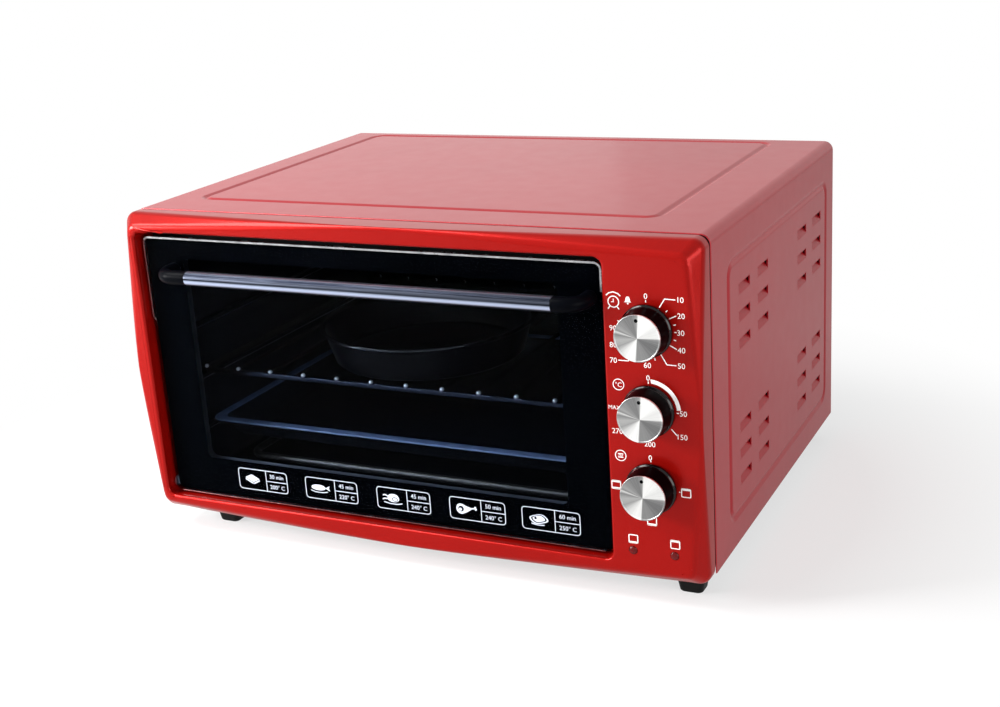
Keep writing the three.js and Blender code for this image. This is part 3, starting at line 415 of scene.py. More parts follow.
@dataclass(frozen=True)
class Moulded(Finish):
    """Moulded plastic, rubber, ceramic or lens with a fine texture."""

    colour: Colour
    shade: Colour
    roughness: float
    texture: float
    specular: float = 0.5

    def mix(self, shader: Shader) -> Material:
        """Faint tone clouds and a fine moulded texture."""
        cloud = shader.noise(70.0, 3.0)
        fine = shader.noise(2600.0, 2.0)
        return shader.surface({
            "Base Color": shader.blend(cloud, self.shade, self.colour),
            "Roughness": shader.ranged(cloud, self.roughness - 0.03, self.roughness + 0.05),
            "Specular IOR Level": self.specular,
            "Normal": shader.bump(fine, self.texture),
        })


@dataclass(frozen=True)
class Pane(Finish):
    """Float glass that lets the lamps through, with a tint and almost no waves."""

    tint: Colour
    index: float

    def mix(self, shader: Shader) -> Material:
        """Clear glass for the eye and a tinted hole for shadow rays."""
        smudge = shader.ranged(shader.noise(36.0, 4.0), 0.0, 0.04, 0.6, 0.85)
        glass = shader.node(
            "ShaderNodeBsdfPrincipled",
            {
                "Base Color": self.tint,
                "Roughness": smudge,
                "IOR": self.index,
                "Transmission Weight": 1.0,
            },
        )
        hole = shader.node("ShaderNodeBsdfTransparent", {"Color": self.tint})
        ray = shader.node("ShaderNodeLightPath").outputs["Is Shadow Ray"]
        both = shader.node("ShaderNodeMixShader", {0: ray, 1: glass.outputs[0], 2: hole.outputs[0]})
        return shader.end(both.outputs[0])


@dataclass(frozen=True)
class Ink(Finish):
    """Screen-printed ink, slightly uneven."""

    colour: Colour
    shade: Colour
    roughness: float
    specular: float = 0.3

    def mix(self, shader: Shader) -> Material:
        """Uneven cover from fine noise."""
        cover = shader.ranged(shader.noise(1400.0, 3.0), 0.0, 1.0, 0.2, 0.55)
        return shader.surface({
            "Base Color": shader.blend(cover, self.shade, self.colour),
            "Roughness": shader.ranged(cover, self.roughness + 0.1, self.roughness),
            "Specular IOR Level": self.specular,
        })


@dataclass(frozen=True)
class Turned(Finish):
    """Metal faced on a lathe: rings in its relief and roughness, and painted highlights, bright and dull
    wedges painted into its colour round the turn. It reads the piece's polar map.
    """

    colour: Colour
    shade: Colour
    roughness: float
    anisotropic: float
    highlight_sectors: tuple[Flat, ...]

    def mix(self, shader: Shader) -> Material:
        """Rings along the radius, and painted highlights: bright and dull wedges of metal colour round the
        turn.
        """
        polar = shader.node("ShaderNodeUVMap", uv_map="polar").outputs["UV"]
        parts = shader.node("ShaderNodeSeparateXYZ", {"Vector": polar})
        around, radius = parts.outputs["X"], parts.outputs["Y"]
        turn = shader.maths("MULTIPLY", around, 2 * math.pi)
        circle = shader.node(
            "ShaderNodeCombineXYZ",
            {"X": shader.maths("COSINE", turn), "Y": shader.maths("SINE", turn), "Z": 0.0},
        ).outputs[0]
        # painted highlight: the metal's tone follows the turn round the disc's axis
        painted_sector = shader.steps(shader.maths("FRACT", around), self.highlight_sectors)
        thin = shader.noise(26.0, 2.0, circle)
        ring_place = shader.node(
            "ShaderNodeCombineXYZ", {"X": shader.maths("MULTIPLY", radius, LATHE_RINGS), "Y": 0.0, "Z": 0.0}
        ).outputs[0]
        ring = shader.noise(1.0, 3.0, ring_place, 0.8)
        tone = shader.maths("ADD", shader.ranged(painted_sector, 0.0, 0.86), shader.ranged(thin, -0.05, 0.2))
        tangent = shader.node("ShaderNodeTangent", direction_type="UV_MAP", uv_map="polar").outputs[0]
        return shader.surface({
            "Base Color": shader.blend(tone, self.shade, self.colour),
            "Metallic": 1.0,
            "Roughness": shader.ranged(ring, self.roughness - 0.04, self.roughness + 0.06),
            "Anisotropic": self.anisotropic,
            "Tangent": tangent,
            "Normal": shader.bump(ring, 0.006, 0.6),
        })


@dataclass(frozen=True)
class Burnished(Finish):
    """Bright drawn tube with fine draw lines along x; light and dark stripes round its axis are painted
    reflections in its colour.
    """

    colour: Colour
    shade: Colour
    roughness: float
    axis: Flat
    reflection_bands: tuple[Flat, ...]

    def mix(self, shader: Shader) -> Material:
        """Painted reflection stripes by the angle round the axis, fine lines along it."""
        parts = shader.node("ShaderNodeSeparateXYZ", {"Vector": shader.place})
        ahead = shader.maths("SUBTRACT", self.axis[0] * MM, parts.outputs["Y"])
        above = shader.maths("SUBTRACT", parts.outputs["Z"], self.axis[1] * MM)
        turn = shader.maths("DIVIDE", shader.maths("ARCTAN2", above, ahead), 2 * math.pi)
        # painted reflection: the tube's tone follows the angle round its axis
        band = shader.steps(shader.maths("ADD", turn, 0.5), self.reflection_bands)
        lines = shader.noise(1.0, 3.0, shader.stretched((14.0, 2400.0, 2400.0)), 0.7)
        tone = shader.maths("ADD", band, shader.ranged(lines, -0.06, 0.06, 0.25, 0.75))
        return shader.surface({
            "Base Color": shader.blend(tone, self.shade, self.colour),
            "Metallic": 1.0,
            "Roughness": shader.ranged(lines, self.roughness - 0.05, self.roughness + 0.05),
            "Normal": shader.bump(lines, 0.003),
        })


# Painted highlights of the knob discs: the tone of bright and dull wedges by the share of the turn.
DISC_PAINTED_HIGHLIGHTS = (
    (0.0, 0.2), (0.012, 0.86), (0.08, 0.76), (0.19, 1.0), (0.234, 1.0), (0.246, 0.26), (0.29, 0.1),
    (0.36, 0.14), (0.43, 0.32), (0.448, 0.14), (0.458, 0.8), (0.476, 0.14), (0.52, 0.4), (0.575, 0.26),
    (0.62, 0.6), (0.69, 1.0), (0.73, 0.95), (0.742, 0.16), (0.8, 0.2), (0.9, 0.05), (0.97, 0.1), (1.0, 0.2),
)
# Painted reflections of the handle tube: the tone of light and dark stripes by the share of the turn round
# its axis.
HANDLE_PAINTED_REFLECTIONS = (
    (0.0, 0.1), (0.33, 0.04), (0.385, 0.18), (0.42, 0.66), (0.455, 0.78), (0.48, 0.48), (0.503, 0.04),
    (0.522, 0.04), (0.545, 0.09), (0.568, 0.08), (0.592, 0.03), (0.612, 0.002), (0.64, 0.008),
    (0.672, 0.16), (0.73, 0.5), (1.0, 0.1),
)


class Finishes:
    """Every finish of the oven."""

    RED_SATIN = Paint(
        "red_satin_paint", (0.37, 0.005, 0.013), (0.28, 0.003, 0.008), 0.3, 0.42, 0.42, 0.25, 0.004, 0.003,
    )
    # The louvres' red, darker and less glossy than the casing's: painted shade in the recesses.
    RED_SCOOP_SHADE = Paint(
        "red_scoop_painted_shade", (0.35, 0.005, 0.012), (0.265, 0.003, 0.007), 0.3, 0.43, 0.27, 0.13, 0.004, 0.003,
    )
    RED_GLOSS = Paint(
        "red_gloss_paint", (0.35, 0.004, 0.002), (0.265, 0.002, 0.001), 0.4, 0.3, 0.06, 0.16, 0.003, 0.002,
    )
    STEEL = Metal(
        "brushed_steel", linear(190, 194, 200), linear(150, 154, 160), 0.32, (60.0, 60.0, 1800.0), 0.004,
    )
    HANDLE = Burnished(
        "handle_steel", linear(210, 222, 252), linear(8, 11, 20), 0.3,
        (CASING_ORIGIN[1] + HANDLE_AXIS[0], CASING_ORIGIN[2] + HANDLE_AXIS[1]), HANDLE_PAINTED_REFLECTIONS,
    )
    # Rack wire metal darkened well below bright chrome: painted shade. Its ends are near white: painted
    # glints.
    DARKENED_CHROME = Metal("rack_wire", linear(60, 66, 80), linear(30, 34, 44), 0.12, (300.0, 300.0, 300.0), 0.002)
    WIRE_TIP_GLINT = Metal(
        "rack_wire_tip_painted_glint", linear(252, 252, 252), linear(236, 238, 242), 0.3, (300.0, 300.0, 300.0), 0.001,
    )
    GALVANISED = Spangle("galvanised_sheet", linear(178, 182, 186), linear(126, 131, 136), 0.42)
    # Near-black finish of the front frame, so that the gap round the door reads dark.
    DARK_FRAME = Enamel("dark_frame_coat", linear(14, 14, 16), linear(40, 40, 44), 0.5, 0.1)
    LINER = Enamel("cavity_enamel", linear(6, 7, 10), linear(44, 48, 56), 0.34, 0.08)
    PAN = Enamel("pan_enamel", linear(4, 3, 4), linear(30, 27, 30), 0.34, 0.1)
    PAN_RIM = Enamel("pan_rim_enamel", linear(12, 10, 11), linear(60, 56, 60), 0.04, 1.0)
    TRAY = Enamel("tray_enamel", linear(8, 10, 15), linear(60, 64, 72), 0.16, 0.2)
    # The tray's lip in a lighter blue-grey: a painted reflection.
    TRAY_LIP_REFLECTION = Enamel("tray_lip_painted_reflection", linear(96, 112, 140), linear(120, 132, 152), 0.2, 0.4)
    HEATER = Metal(
        "heater_sheath", linear(122, 118, 112), linear(70, 68, 64), 0.4, (120.0, 700.0, 700.0), 0.01,
    )
    BRASS = Metal("bell_metal", linear(196, 158, 86), linear(150, 118, 60), 0.3, (90.0, 900.0, 900.0), 0.006)
    BULB = Metal("bulb_metal", linear(58, 44, 36), linear(34, 27, 22), 0.5, (90.0, 900.0, 900.0), 0.006)
    KNOB = Moulded("knob_plastic", linear(2, 2, 3), linear(1, 1, 2), 0.3, 0.001, 0.02)
    KNOB_RIM = Moulded("knob_rim_plastic", linear(2, 2, 3), linear(1, 1, 2), 0.05, 0.001, 0.3)
    HANDLE_END = Moulded("handle_end_plastic", linear(5, 6, 11), linear(3, 4, 7), 0.32, 0.01, 0.02)
    FOOT = Moulded("foot_rubber", linear(17, 16, 16), linear(9, 9, 9), 0.5, 0.02, 0.15)
    CERAMIC = Moulded("heater_ceramic", linear(232, 226, 212), linear(206, 198, 180), 0.6, 0.03)
    LENS = Moulded("lamp_lens", linear(112, 2, 3), linear(60, 0, 1), 0.1, 0.002, 0.25)
    # Turned metal whose wedges of bright and dull colour are painted highlights.
    DISC = Turned("knob_disc_metal", linear(252, 252, 250), linear(78, 78, 80), 0.3, 0.6, DISC_PAINTED_HIGHLIGHTS)
    OUTER_GLASS = Pane("door_glass_pane", (0.6, 0.64, 0.71), 1.05)
    INNER_GLASS = Pane("inner_glass_pane", (0.9, 0.93, 0.95), 1.05)
    WHITE_INK = Ink("white_ink", linear(250, 246, 244), linear(226, 216, 214), 0.5)
    GLASS_INK = Ink("pale_ink", linear(224, 232, 246), linear(180, 190, 208), 0.5)
    BORDER_INK = Ink("black_border_ink", linear(2, 3, 5), linear(1, 2, 3), 0.6, 0.0)
    # A bright metal strip on the pane's edge: a painted reflection.
    GLASS_EDGE_REFLECTION = Metal(
        "glass_edge_painted_reflection", linear(196, 196, 198), linear(120, 122, 126), 0.25, (90.0, 200.0, 200.0),
        0.002,
    )


# Outlines in a plane


def round_rect(
    left: float, right: float, low: float, high: float, radius: float, steps: int = 8
) -> list[Flat]:
    """Outline of a rectangle with round corners, anticlockwise.

    Args:
        left: lowest first coordinate.
        right: highest first coordinate.
        low: lowest second coordinate.
        high: highest second coordinate.
        radius: corner radius.
        steps: faces in each corner.

    Returns:
        Its points.
    """
    corners = [
        (right - radius, low + radius, -90.0),
        (right - radius, high - radius, 0.0),
        (left + radius, high - radius, 90.0),
        (left + radius, low + radius, 180.0),
    ]
    points = []
    for u, v, start in corners:
        points += arc(u, v, radius, start, start + 90.0, steps)
    return points


def inward(area: Area, inset: float, radius: float, steps: int = 8) -> list[Flat]:
    """Outline of an area moved inwards all round, with round corners."""
    left, right, low, high = area
    return round_rect(left + inset, right - inset, low + inset, high - inset, radius, steps)


def upright(outline: Sequence[Flat], y: float) -> list[Point]:
    """An outline in x and z as points at one y."""
    return [(u, y, v) for u, v in outline]


def oval(u: float, v: float, wide: float, tall: float, steps: int) -> list[Flat]:
    """An oval about (u, v) by its two radii."""
    turns = np.linspace(0, 2 * math.pi, steps)[:-1]
    return [(u + wide * math.cos(t), v + tall * math.sin(t)) for t in turns]


def arc(u: float, v: float, radius: float, start: float, end: float, steps: int) -> list[Flat]:
    """Points on an arc about (u, v) from start to end in degrees, both ends included."""
    turns = [math.radians(start + (end - start) * i / steps) for i in range(steps + 1)]
    return [(u + radius * math.cos(t), v + radius * math.sin(t)) for t in turns]


def circle(u: float, v: float, radius: float, steps: int = 32) -> list[Flat]:
    """A full circle, its end not repeated."""
    return arc(u, v, radius, 0.0, 360.0, steps)[:-1]


def rounded(corners: Sequence[Flat], radii: Sequence[float], steps: int = 4) -> list[Flat]:
    """Round the inner corners of an open line.

    Args:
        corners: its points.
        radii: how far before and after each corner the round starts.
        steps: chords in each round.

    Returns:
        The points of the rounded line.
    """
    points = [corners[0]]
    for before, corner, after, reach in zip(corners, corners[1:], corners[2:], radii[1:-1]):
        middle = np.array(corner, float)
        first = np.array(before, float) - middle
        last = np.array(after, float) - middle
        near = middle + first / max(np.linalg.norm(first), 1e-9) * reach
        far = middle + last / max(np.linalg.norm(last), 1e-9) * reach
        for i in range(steps + 1):
            t = i / steps
            spot = near * (1 - t) ** 2 + middle * 2 * t * (1 - t) + far * t * t
            points.append(tuple(float(value) for value in spot))
    points.append(corners[-1])
    return points


# Shapes


@dataclass
class Shape:
    """Points and faces of one piece, in millimetres from the casing's own origin."""

    points: list[Point] = field(default_factory=list)
    faces: list[tuple[int, ...]] = field(default_factory=list)
    marks: list[int] = field(default_factory=list)
    mark: int = 0

    def face(self, *corners: int) -> None:
        """Add one face with the finish of the moment."""
        self.faces.append(corners)
        self.marks.append(self.mark)

    def grid(self, rows: Sequence[Sequence[Point]], wrap: bool = False) -> None:
        """Skin rows of points.

        Args:
            rows: rows of equal length.
            wrap: True joins each row's end to its start.
        """
        base, width = len(self.points), len(rows[0])
        for row in rows:
            self.points.extend(row)
        for level in range(len(rows) - 1):
            for step in range(width if wrap else width - 1):
                a = base + level * width + step
                b = base + level * width + (step + 1) % width
                self.face(a, b, b + width, a + width)

    def cap(self, ring: Sequence[Point]) -> None:
        """Close a ring with one flat face."""
        base = len(self.points)
        self.points.extend(ring)
        self.face(*range(base, base + len(ring)))

    def fill(self, loops: Sequence[Sequence[Point]], facing: Point = (0.0, -1.0, 0.0)) -> None:
        """Fill a flat outline with holes.

        Args:
            loops: the outline, then its holes.
            facing: the side that the faces look to.
        """
        base = len(self.points)
        flat = [point for loop in loops for point in loop]
        self.points.extend(flat)
        for a, b, c in tessellate_polygon([[Vector(point) for point in loop] for loop in loops]):
            normal = (Vector(flat[b]) - Vector(flat[a])).cross(Vector(flat[c]) - Vector(flat[a]))
            if normal.length < 1e-9:
                continue
            if normal.dot(Vector(facing)) < 0:
                b, c = c, b
            self.face(base + a, base + b, base + c)

    def turned(self, profile: Sequence[Flat], axis: str, centre: Point, steps: int = 48) -> None:
        """Turn a profile about an axis.

        Args:
            profile: radius and height pairs; a radius of 0 closes the end.
            axis: x, y or z.
            centre: a point on the axis.
            steps: faces round the turn.
        """
        rows = []
        for radius, height in profile:
            row = []
            for i in range(steps):
                t = 2 * math.pi * i / steps
                u, v = radius * math.cos(t), radius * math.sin(t)
                x, y, z = {"x": (height, u, v), "y": (u, height, v), "z": (u, v, height)}[axis]
                row.append((centre[0] + x, centre[1] + y, centre[2] + z))
            rows.append(row)
        self.grid(rows, wrap=True)

    def make(
        self,
        name: str,
        finishes: Sequence[Finish],
        sheet: float = 0.0,
        bevel: float = 0.0,
        sharp: float = 40.0,
        facing: bool = False,
    ) -> Object:
        """Turn the shape into a finished mesh object.

        Args:
            name: the piece's name.
            finishes: one for each mark, in order.
            sheet: thickness that an open skin gets, towards its inner side.
            bevel: width of the round on its sharp edges.
            sharp: angle in degrees above which an edge stays sharp in shading.
            facing: True where the faces already look the right way.

        Returns:
            The object, at the frame's origin.
        """
        mesh = bpy.data.meshes.new(name)
        mesh.from_pydata([framed(*point) for point in self.points], [], self.faces)
        mesh.polygons.foreach_set("material_index", self.marks)
        for finish in finishes:
            mesh.materials.append(finish.material())
        work = bmesh.new()
        work.from_mesh(mesh)
        bmesh.ops.remove_doubles(work, verts=work.verts, dist=WELD * MM)
        bmesh.ops.dissolve_degenerate(work, edges=work.edges, dist=SLIVER * MM)
        if not facing:
            bmesh.ops.recalc_face_normals(work, faces=work.faces)
        work.to_mesh(mesh)
        work.free()
        made = placed(name, mesh)
        if sheet:
            wall = made.modifiers.new("sheet", "SOLIDIFY")
            wall.thickness, wall.offset = sheet * MM, -1.0
        if bevel:
            edge = made.modifiers.new("edge", "BEVEL")
            edge.width, edge.segments, edge.limit_method = bevel * MM, 2, "ANGLE"
            edge.angle_limit, edge.use_clamp_overlap = math.radians(sharp), True
        if sheet or bevel:
            settle(made)
        smooth(made, sharp)
        return made


def settle(made: Object) -> None:
    """Put the result of an object's modifiers in its mesh and remove them."""
    graph = bpy.context.evaluated_depsgraph_get()
    graph.update()
    mesh = bpy.data.meshes.new_from_object(made.evaluated_get(graph), depsgraph=graph)
    made.modifiers.clear()
    made.data = mesh


def smooth(made: Object, sharp: float) -> None:
    """Smooth shading up to an angle, with flat faces kept flat beside rounds.

    Args:
        made: the object.
        sharp: angle in degrees above which an edge stays sharp.
    """
    mesh = made.data
    mesh.polygons.foreach_set("use_smooth", [True] * len(mesh.polygons))
    mesh.set_sharp_from_angle(angle=math.radians(sharp))
    weighted = made.modifiers.new("weighted", "WEIGHTED_NORMAL")
    weighted.keep_sharp = True
    settle(made)


def merged(parts: Sequence[Object], name: str, sharp: float = 40.0) -> Object:
    """Join several objects into one piece.

    Args:
        parts: the objects; they are removed.
        name: the piece's name.
        sharp: angle in degrees above which an edge stays sharp.

    Returns:
        The joined piece.
    """
    work = bmesh.new()
    materials: list[Material] = []
    for part in parts:
        start = len(work.faces)
        work.from_mesh(part.data)
        work.faces.ensure_lookup_table()
        places = []
        for material in part.data.materials:
            if material not in materials:
                materials.append(material)
            places.append(materials.index(material))
        for face in work.faces[start:]:
            face.material_index = places[face.material_index] if places else 0
    mesh = bpy.data.meshes.new(name)
    work.to_mesh(mesh)
    work.free()
    for material in materials:
        mesh.materials.append(material)
    for part in parts:
        bpy.data.objects.remove(part)
    made = placed(name, mesh)
    smooth(made, sharp)
    return made


# Geometry node trees


class Growth:
    """A geometry node tree with named inputs that ends in Realize Instances and Set Material."""

    def __init__(self, name: str) -> None:
        """Start a tree.

        Args:
            name: the tree's name.
        """
        self.group = bpy.data.node_groups.new(name, "GeometryNodeTree")
        self.group.is_modifier = True
        self.group.interface.new_socket("Geometry", in_out="OUTPUT", socket_type="NodeSocketGeometry")
        self.group.interface.new_socket("Geometry", in_out="INPUT", socket_type="NodeSocketGeometry")
        self.entry = self.group.nodes.new("NodeGroupInput")
        self.keys: dict[str, str] = {}
        self.given("Finish", "NodeSocketMaterial")

    def given(self, name: str, kind: str) -> NodeSocket:
        """Add a named input and give its socket."""
        self.keys[name] = self.group.interface.new_socket(name, in_out="INPUT", socket_type=kind).identifier
        return self.entry.outputs[name]

    def node(self, kind: str, values: dict | None = None, **settings: object) -> Node:
        """Add a node to this tree."""
        return add_node(self.group, kind, values, settings)

    def close(self, geometry: NodeSocket) -> None:
        """End the tree: real geometry with its finish."""
        real = self.node("GeometryNodeRealizeInstances", {"Geometry": geometry})
        values = {"Geometry": real.outputs[0], "Material": self.entry.outputs["Finish"]}
        dressed = self.node("GeometryNodeSetMaterial", values)
        self.node("NodeGroupOutput", {"Geometry": dressed.outputs[0]})

    def run(self, source: Object, finish: Finish, **values: object) -> Object:
        """Grow a piece from a source object.

        Args:
            source: the object that the tree reads; its mesh is replaced by the result.
            finish: the result's finish.
            values: the tree's other inputs by name.

        Returns:
            The same object with a plain mesh.
        """
        modifier = source.modifiers.new("growth", "NODES")
        modifier.node_group = self.group
        modifier[self.keys["Finish"]] = finish.material()
        for name, value in values.items():
            modifier[self.keys[name]] = value
        settle(source)
        return source


class Repeated(Growth):
    """Repeats a shape by a fixed step, and by a turn about an axis that runs along y."""

    def __init__(self) -> None:
        """Build the tree."""
        super().__init__("repeat_shape")
        count = self.given("Count", "NodeSocketInt")
        step = self.given("Step", "NodeSocketVector")
        turn = self.given("Turn", "NodeSocketFloat")
        centre = self.given("Centre", "NodeSocketVector")
        line = self.node("GeometryNodeMeshLine", {"Count": count, "Offset": step})
        values = {"Points": line.outputs[0], "Instance": self.entry.outputs["Geometry"]}
        copies = self.node("GeometryNodeInstanceOnPoints", values)
        index = self.node("GeometryNodeInputIndex").outputs[0]
        angle = self.node("ShaderNodeMath", {0: index, 1: turn}, operation="MULTIPLY").outputs[0]
        spin = self.node("ShaderNodeCombineXYZ", {"Y": angle}).outputs[0]
        values = {
            "Instances": copies.outputs[0], "Rotation": spin, "Pivot Point": centre, "Local Space": False
        }
        self.close(self.node("GeometryNodeRotateInstances", values).outputs[0])


class Scattered(Growth):
    """Puts a shape on each point of a mesh."""

    def __init__(self) -> None:
        """Build the tree."""
        super().__init__("scatter_shape")
        shape = self.given("Shape", "NodeSocketObject")
        read = self.node("GeometryNodeObjectInfo", {"Object": shape}, transform_space="ORIGINAL")
        values = {"Points": self.entry.outputs["Geometry"], "Instance": read.outputs["Geometry"]}
        self.close(self.node("GeometryNodeInstanceOnPoints", values).outputs[0])


class Drawn(Growth):
    """Draws round wire along the edges of a mesh, with round bends and closed ends."""

    def __init__(self) -> None:
        """Build the tree."""
        super().__init__("draw_wire")
        radius = self.given("Radius", "NodeSocketFloat")
        bend = self.given("Bend", "NodeSocketFloat")
        sides = self.given("Sides", "NodeSocketInt")
        route = self.node("GeometryNodeMeshToCurve", {"Mesh": self.entry.outputs["Geometry"]})
        values = {"Curve": route.outputs[0], "Radius": bend, "Count": 8, "Limit Radius": True}
        bent = self.node("GeometryNodeFilletCurve", values, mode="POLY")
        section = self.node("GeometryNodeCurvePrimitiveCircle", {"Resolution": sides, "Radius": radius})
        values = {"Curve": bent.outputs[0], "Profile Curve": section.outputs[0], "Fill Caps": True}
        self.close(self.node("GeometryNodeCurveToMesh", values).outputs[0])


class Workshop:
    """The node trees and the pieces that they grow."""

    def __init__(self) -> None:
        """Build each tree once."""
        self.repeated = Repeated()
        self.scattered = Scattered()
        self.drawn = Drawn()

    def repeat(
        self,
        source: Object,
        finish: Finish,
        count: int,
        step: Point = (0.0, 0.0, 0.0),
        turn: float = 0.0,
        centre: Point = (0.0, 0.0, 0.0),
    ) -> Object:
        """Repeat a piece.

        Args:
            source: the first copy.
            finish: its finish.
            count: number of copies.
            step: move from one copy to the next, in millimetres.
            turn: turn from one copy to the next, in degrees.
            centre: a point on the turn's axis, as a casing point.

        Returns:
            The repeated piece.
        """
        move = tuple(value * MM for value in step)
        values = {"Count": count, "Step": move, "Turn": math.radians(turn), "Centre": framed(*centre)}
        return self.repeated.run(source, finish, **values)

    def scatter(self, name: str, shape: Object, finish: Finish, places: Sequence[Point]) -> Object:
        """Put a shape at listed places.

        Args:
            name: the new piece's name.
            shape: the shape, made round the frame's origin; it is removed.
            finish: its finish.
            places: casing points.

        Returns:
            The new piece.
        """
        mesh = bpy.data.meshes.new(name)
        mesh.from_pydata([framed(*place) for place in places], [], [])
        made = placed(name, mesh)
        self.scattered.run(made, finish, Shape=shape)
        bpy.data.objects.remove(shape)
        smooth(made, 40.0)
        return made

    def wire(
        self,
        name: str,
        routes: Sequence[Sequence[Point]],
        finish: Finish,
        radius: float,
        bend: float = 0.0,
        closed: bool = False,
        sides: int = 20,
    ) -> Object:
        """Draw wire along routes.

        Args:
            name: the new piece's name.
            routes: the corners of each route.
            finish: its finish.
            radius: the wire's radius.
            bend: radius of its bends.
            closed: True joins each route's end to its start.
            sides: faces round the wire.

        Returns:
            The new piece.
        """
        points, edges = [], []
        for route in routes:
            base = len(points)
            points += [framed(*point) for point in route]
            edges += [(base + i, base + i + 1) for i in range(len(route) - 1)]
            if closed:
                edges.append((base + len(route) - 1, base))
        mesh = bpy.data.meshes.new(name)
        mesh.from_pydata(points, edges, [])
        made = placed(name, mesh)
        self.drawn.run(made, finish, Radius=radius * MM, Bend=bend * MM, Sides=sides)
        smooth(made, 50.0)
        return made


# Print


@dataclass
class Print:
    """Flat ink on an upright face, drawn in x and z at one y."""

    y: float
    shape: Shape = field(default_factory=Shape)

    def area(self, *loops: Sequence[Flat]) -> None:
        """Fill an outline with holes."""
        self.shape.fill([upright(loop, self.y) for loop in loops])

    def line(self, corners: Sequence[Flat], width: float) -> None:
        """Draw a line of a width through corners."""
        left, right = [], []
        spots = [np.array(corner, float) for corner in corners]
        for i, spot in enumerate(spots):
            before = spots[i] - spots[i - 1] if i > 0 else spots[1] - spots[0]
            after = spots[i + 1] - spots[i] if i + 1 < len(spots) else spots[-1] - spots[-2]
            before, after = before / np.linalg.norm(before), after / np.linalg.norm(after)
            middle = before + after
            middle = middle / np.linalg.norm(middle)
            side = np.array([-middle[1], middle[0]]) * width / 2 / max(float(middle @ before), LEAST_MITRE)
            left.append(tuple(spot + side))
            right.append(tuple(spot - side))
        self.shape.grid([upright(right, self.y), upright(left, self.y)])

    def ring(self, u: float, v: float, radius: float, width: float) -> None:
        """Draw a circle of a line width."""
        self.area(circle(u, v, radius, 40), circle(u, v, radius - width, 40))

    def frame(self, area: Area, radius: float, width: float) -> None:
        """Draw a rounded rectangle of a line width."""
        self.area(round_rect(*area, radius), inward(area, width, max(radius - width, 0.05)))

    def text(self, words: str, u: float, v: float, height: float) -> None:
        """Write plain figures or letters, centred on a spot.

        Args:
            words: what is written.
            u: x of the middle.
            v: z of the middle.
            height: height of a capital.
        """
        font = bpy.data.curves.new("figures", "FONT")
        font.body, font.resolution_u = words, 3
        holder = placed("figures", font)
        bpy.context.view_layer.update()
        mesh = holder.to_mesh()
        spots = [(vertex.co.x, vertex.co.y) for vertex in mesh.vertices]
        low, high = np.min(spots, axis=0), np.max(spots, axis=0)
        scale = height / CAPITAL
        middle = ((low[0] + high[0]) / 2, CAPITAL / 2)
        base = len(self.shape.points)
        for x, y in spots:
            self.shape.points.append((u + (x - middle[0]) * scale, self.y, v + (y - middle[1]) * scale))
        for polygon in mesh.polygons:
            self.shape.face(*(base + index for index in polygon.vertices))
        holder.to_mesh_clear()
        bpy.data.objects.remove(holder)
        bpy.data.curves.remove(font)

    def make(self, name: str, finish: Finish) -> Object:
        """Turn the print into a piece."""
        made = self.shape.make(name, [finish], facing=True)
        aim_front(made)
        return made


def aim_front(made: Object) -> None:
    """Turn every face of a flat print to the front."""
    work = bmesh.new()
    work.from_mesh(made.data)
    wrong = [face for face in work.faces if face.normal.y > 0]
    bmesh.ops.reverse_faces(work, faces=wrong)
    work.to_mesh(made.data)
    work.free()


# Placing pieces


def fit(made: Object, body: Body, slot: Slot, *nodes: str) -> Object:
    """Let a piece ride on a body and stand for solids.

    Args:
        made: the piece.
        body: the body that carries it.
        slot: not used.
        nodes: the solids that it replaces.

    Returns:
        The piece.
    """
    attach(made, body.value)
    if nodes:
        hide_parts(*nodes)
    LOG.info("%s on %s: %d faces", made.name, body.value, len(made.data.polygons))
    return made


def dress(nodes: dict[str, Object], finish: Finish, *names: str) -> None:
    """Give solids that stay in view a finish.

    Args:
        nodes: the frame's solids by name.
        finish: their finish.
        names: which of them.
    """
    for name in names:
        for slot in nodes[name].material_slots:
            slot.material = finish.material()
        LOG.info("%s keeps its solid in %s", name, finish.name)


# Casing


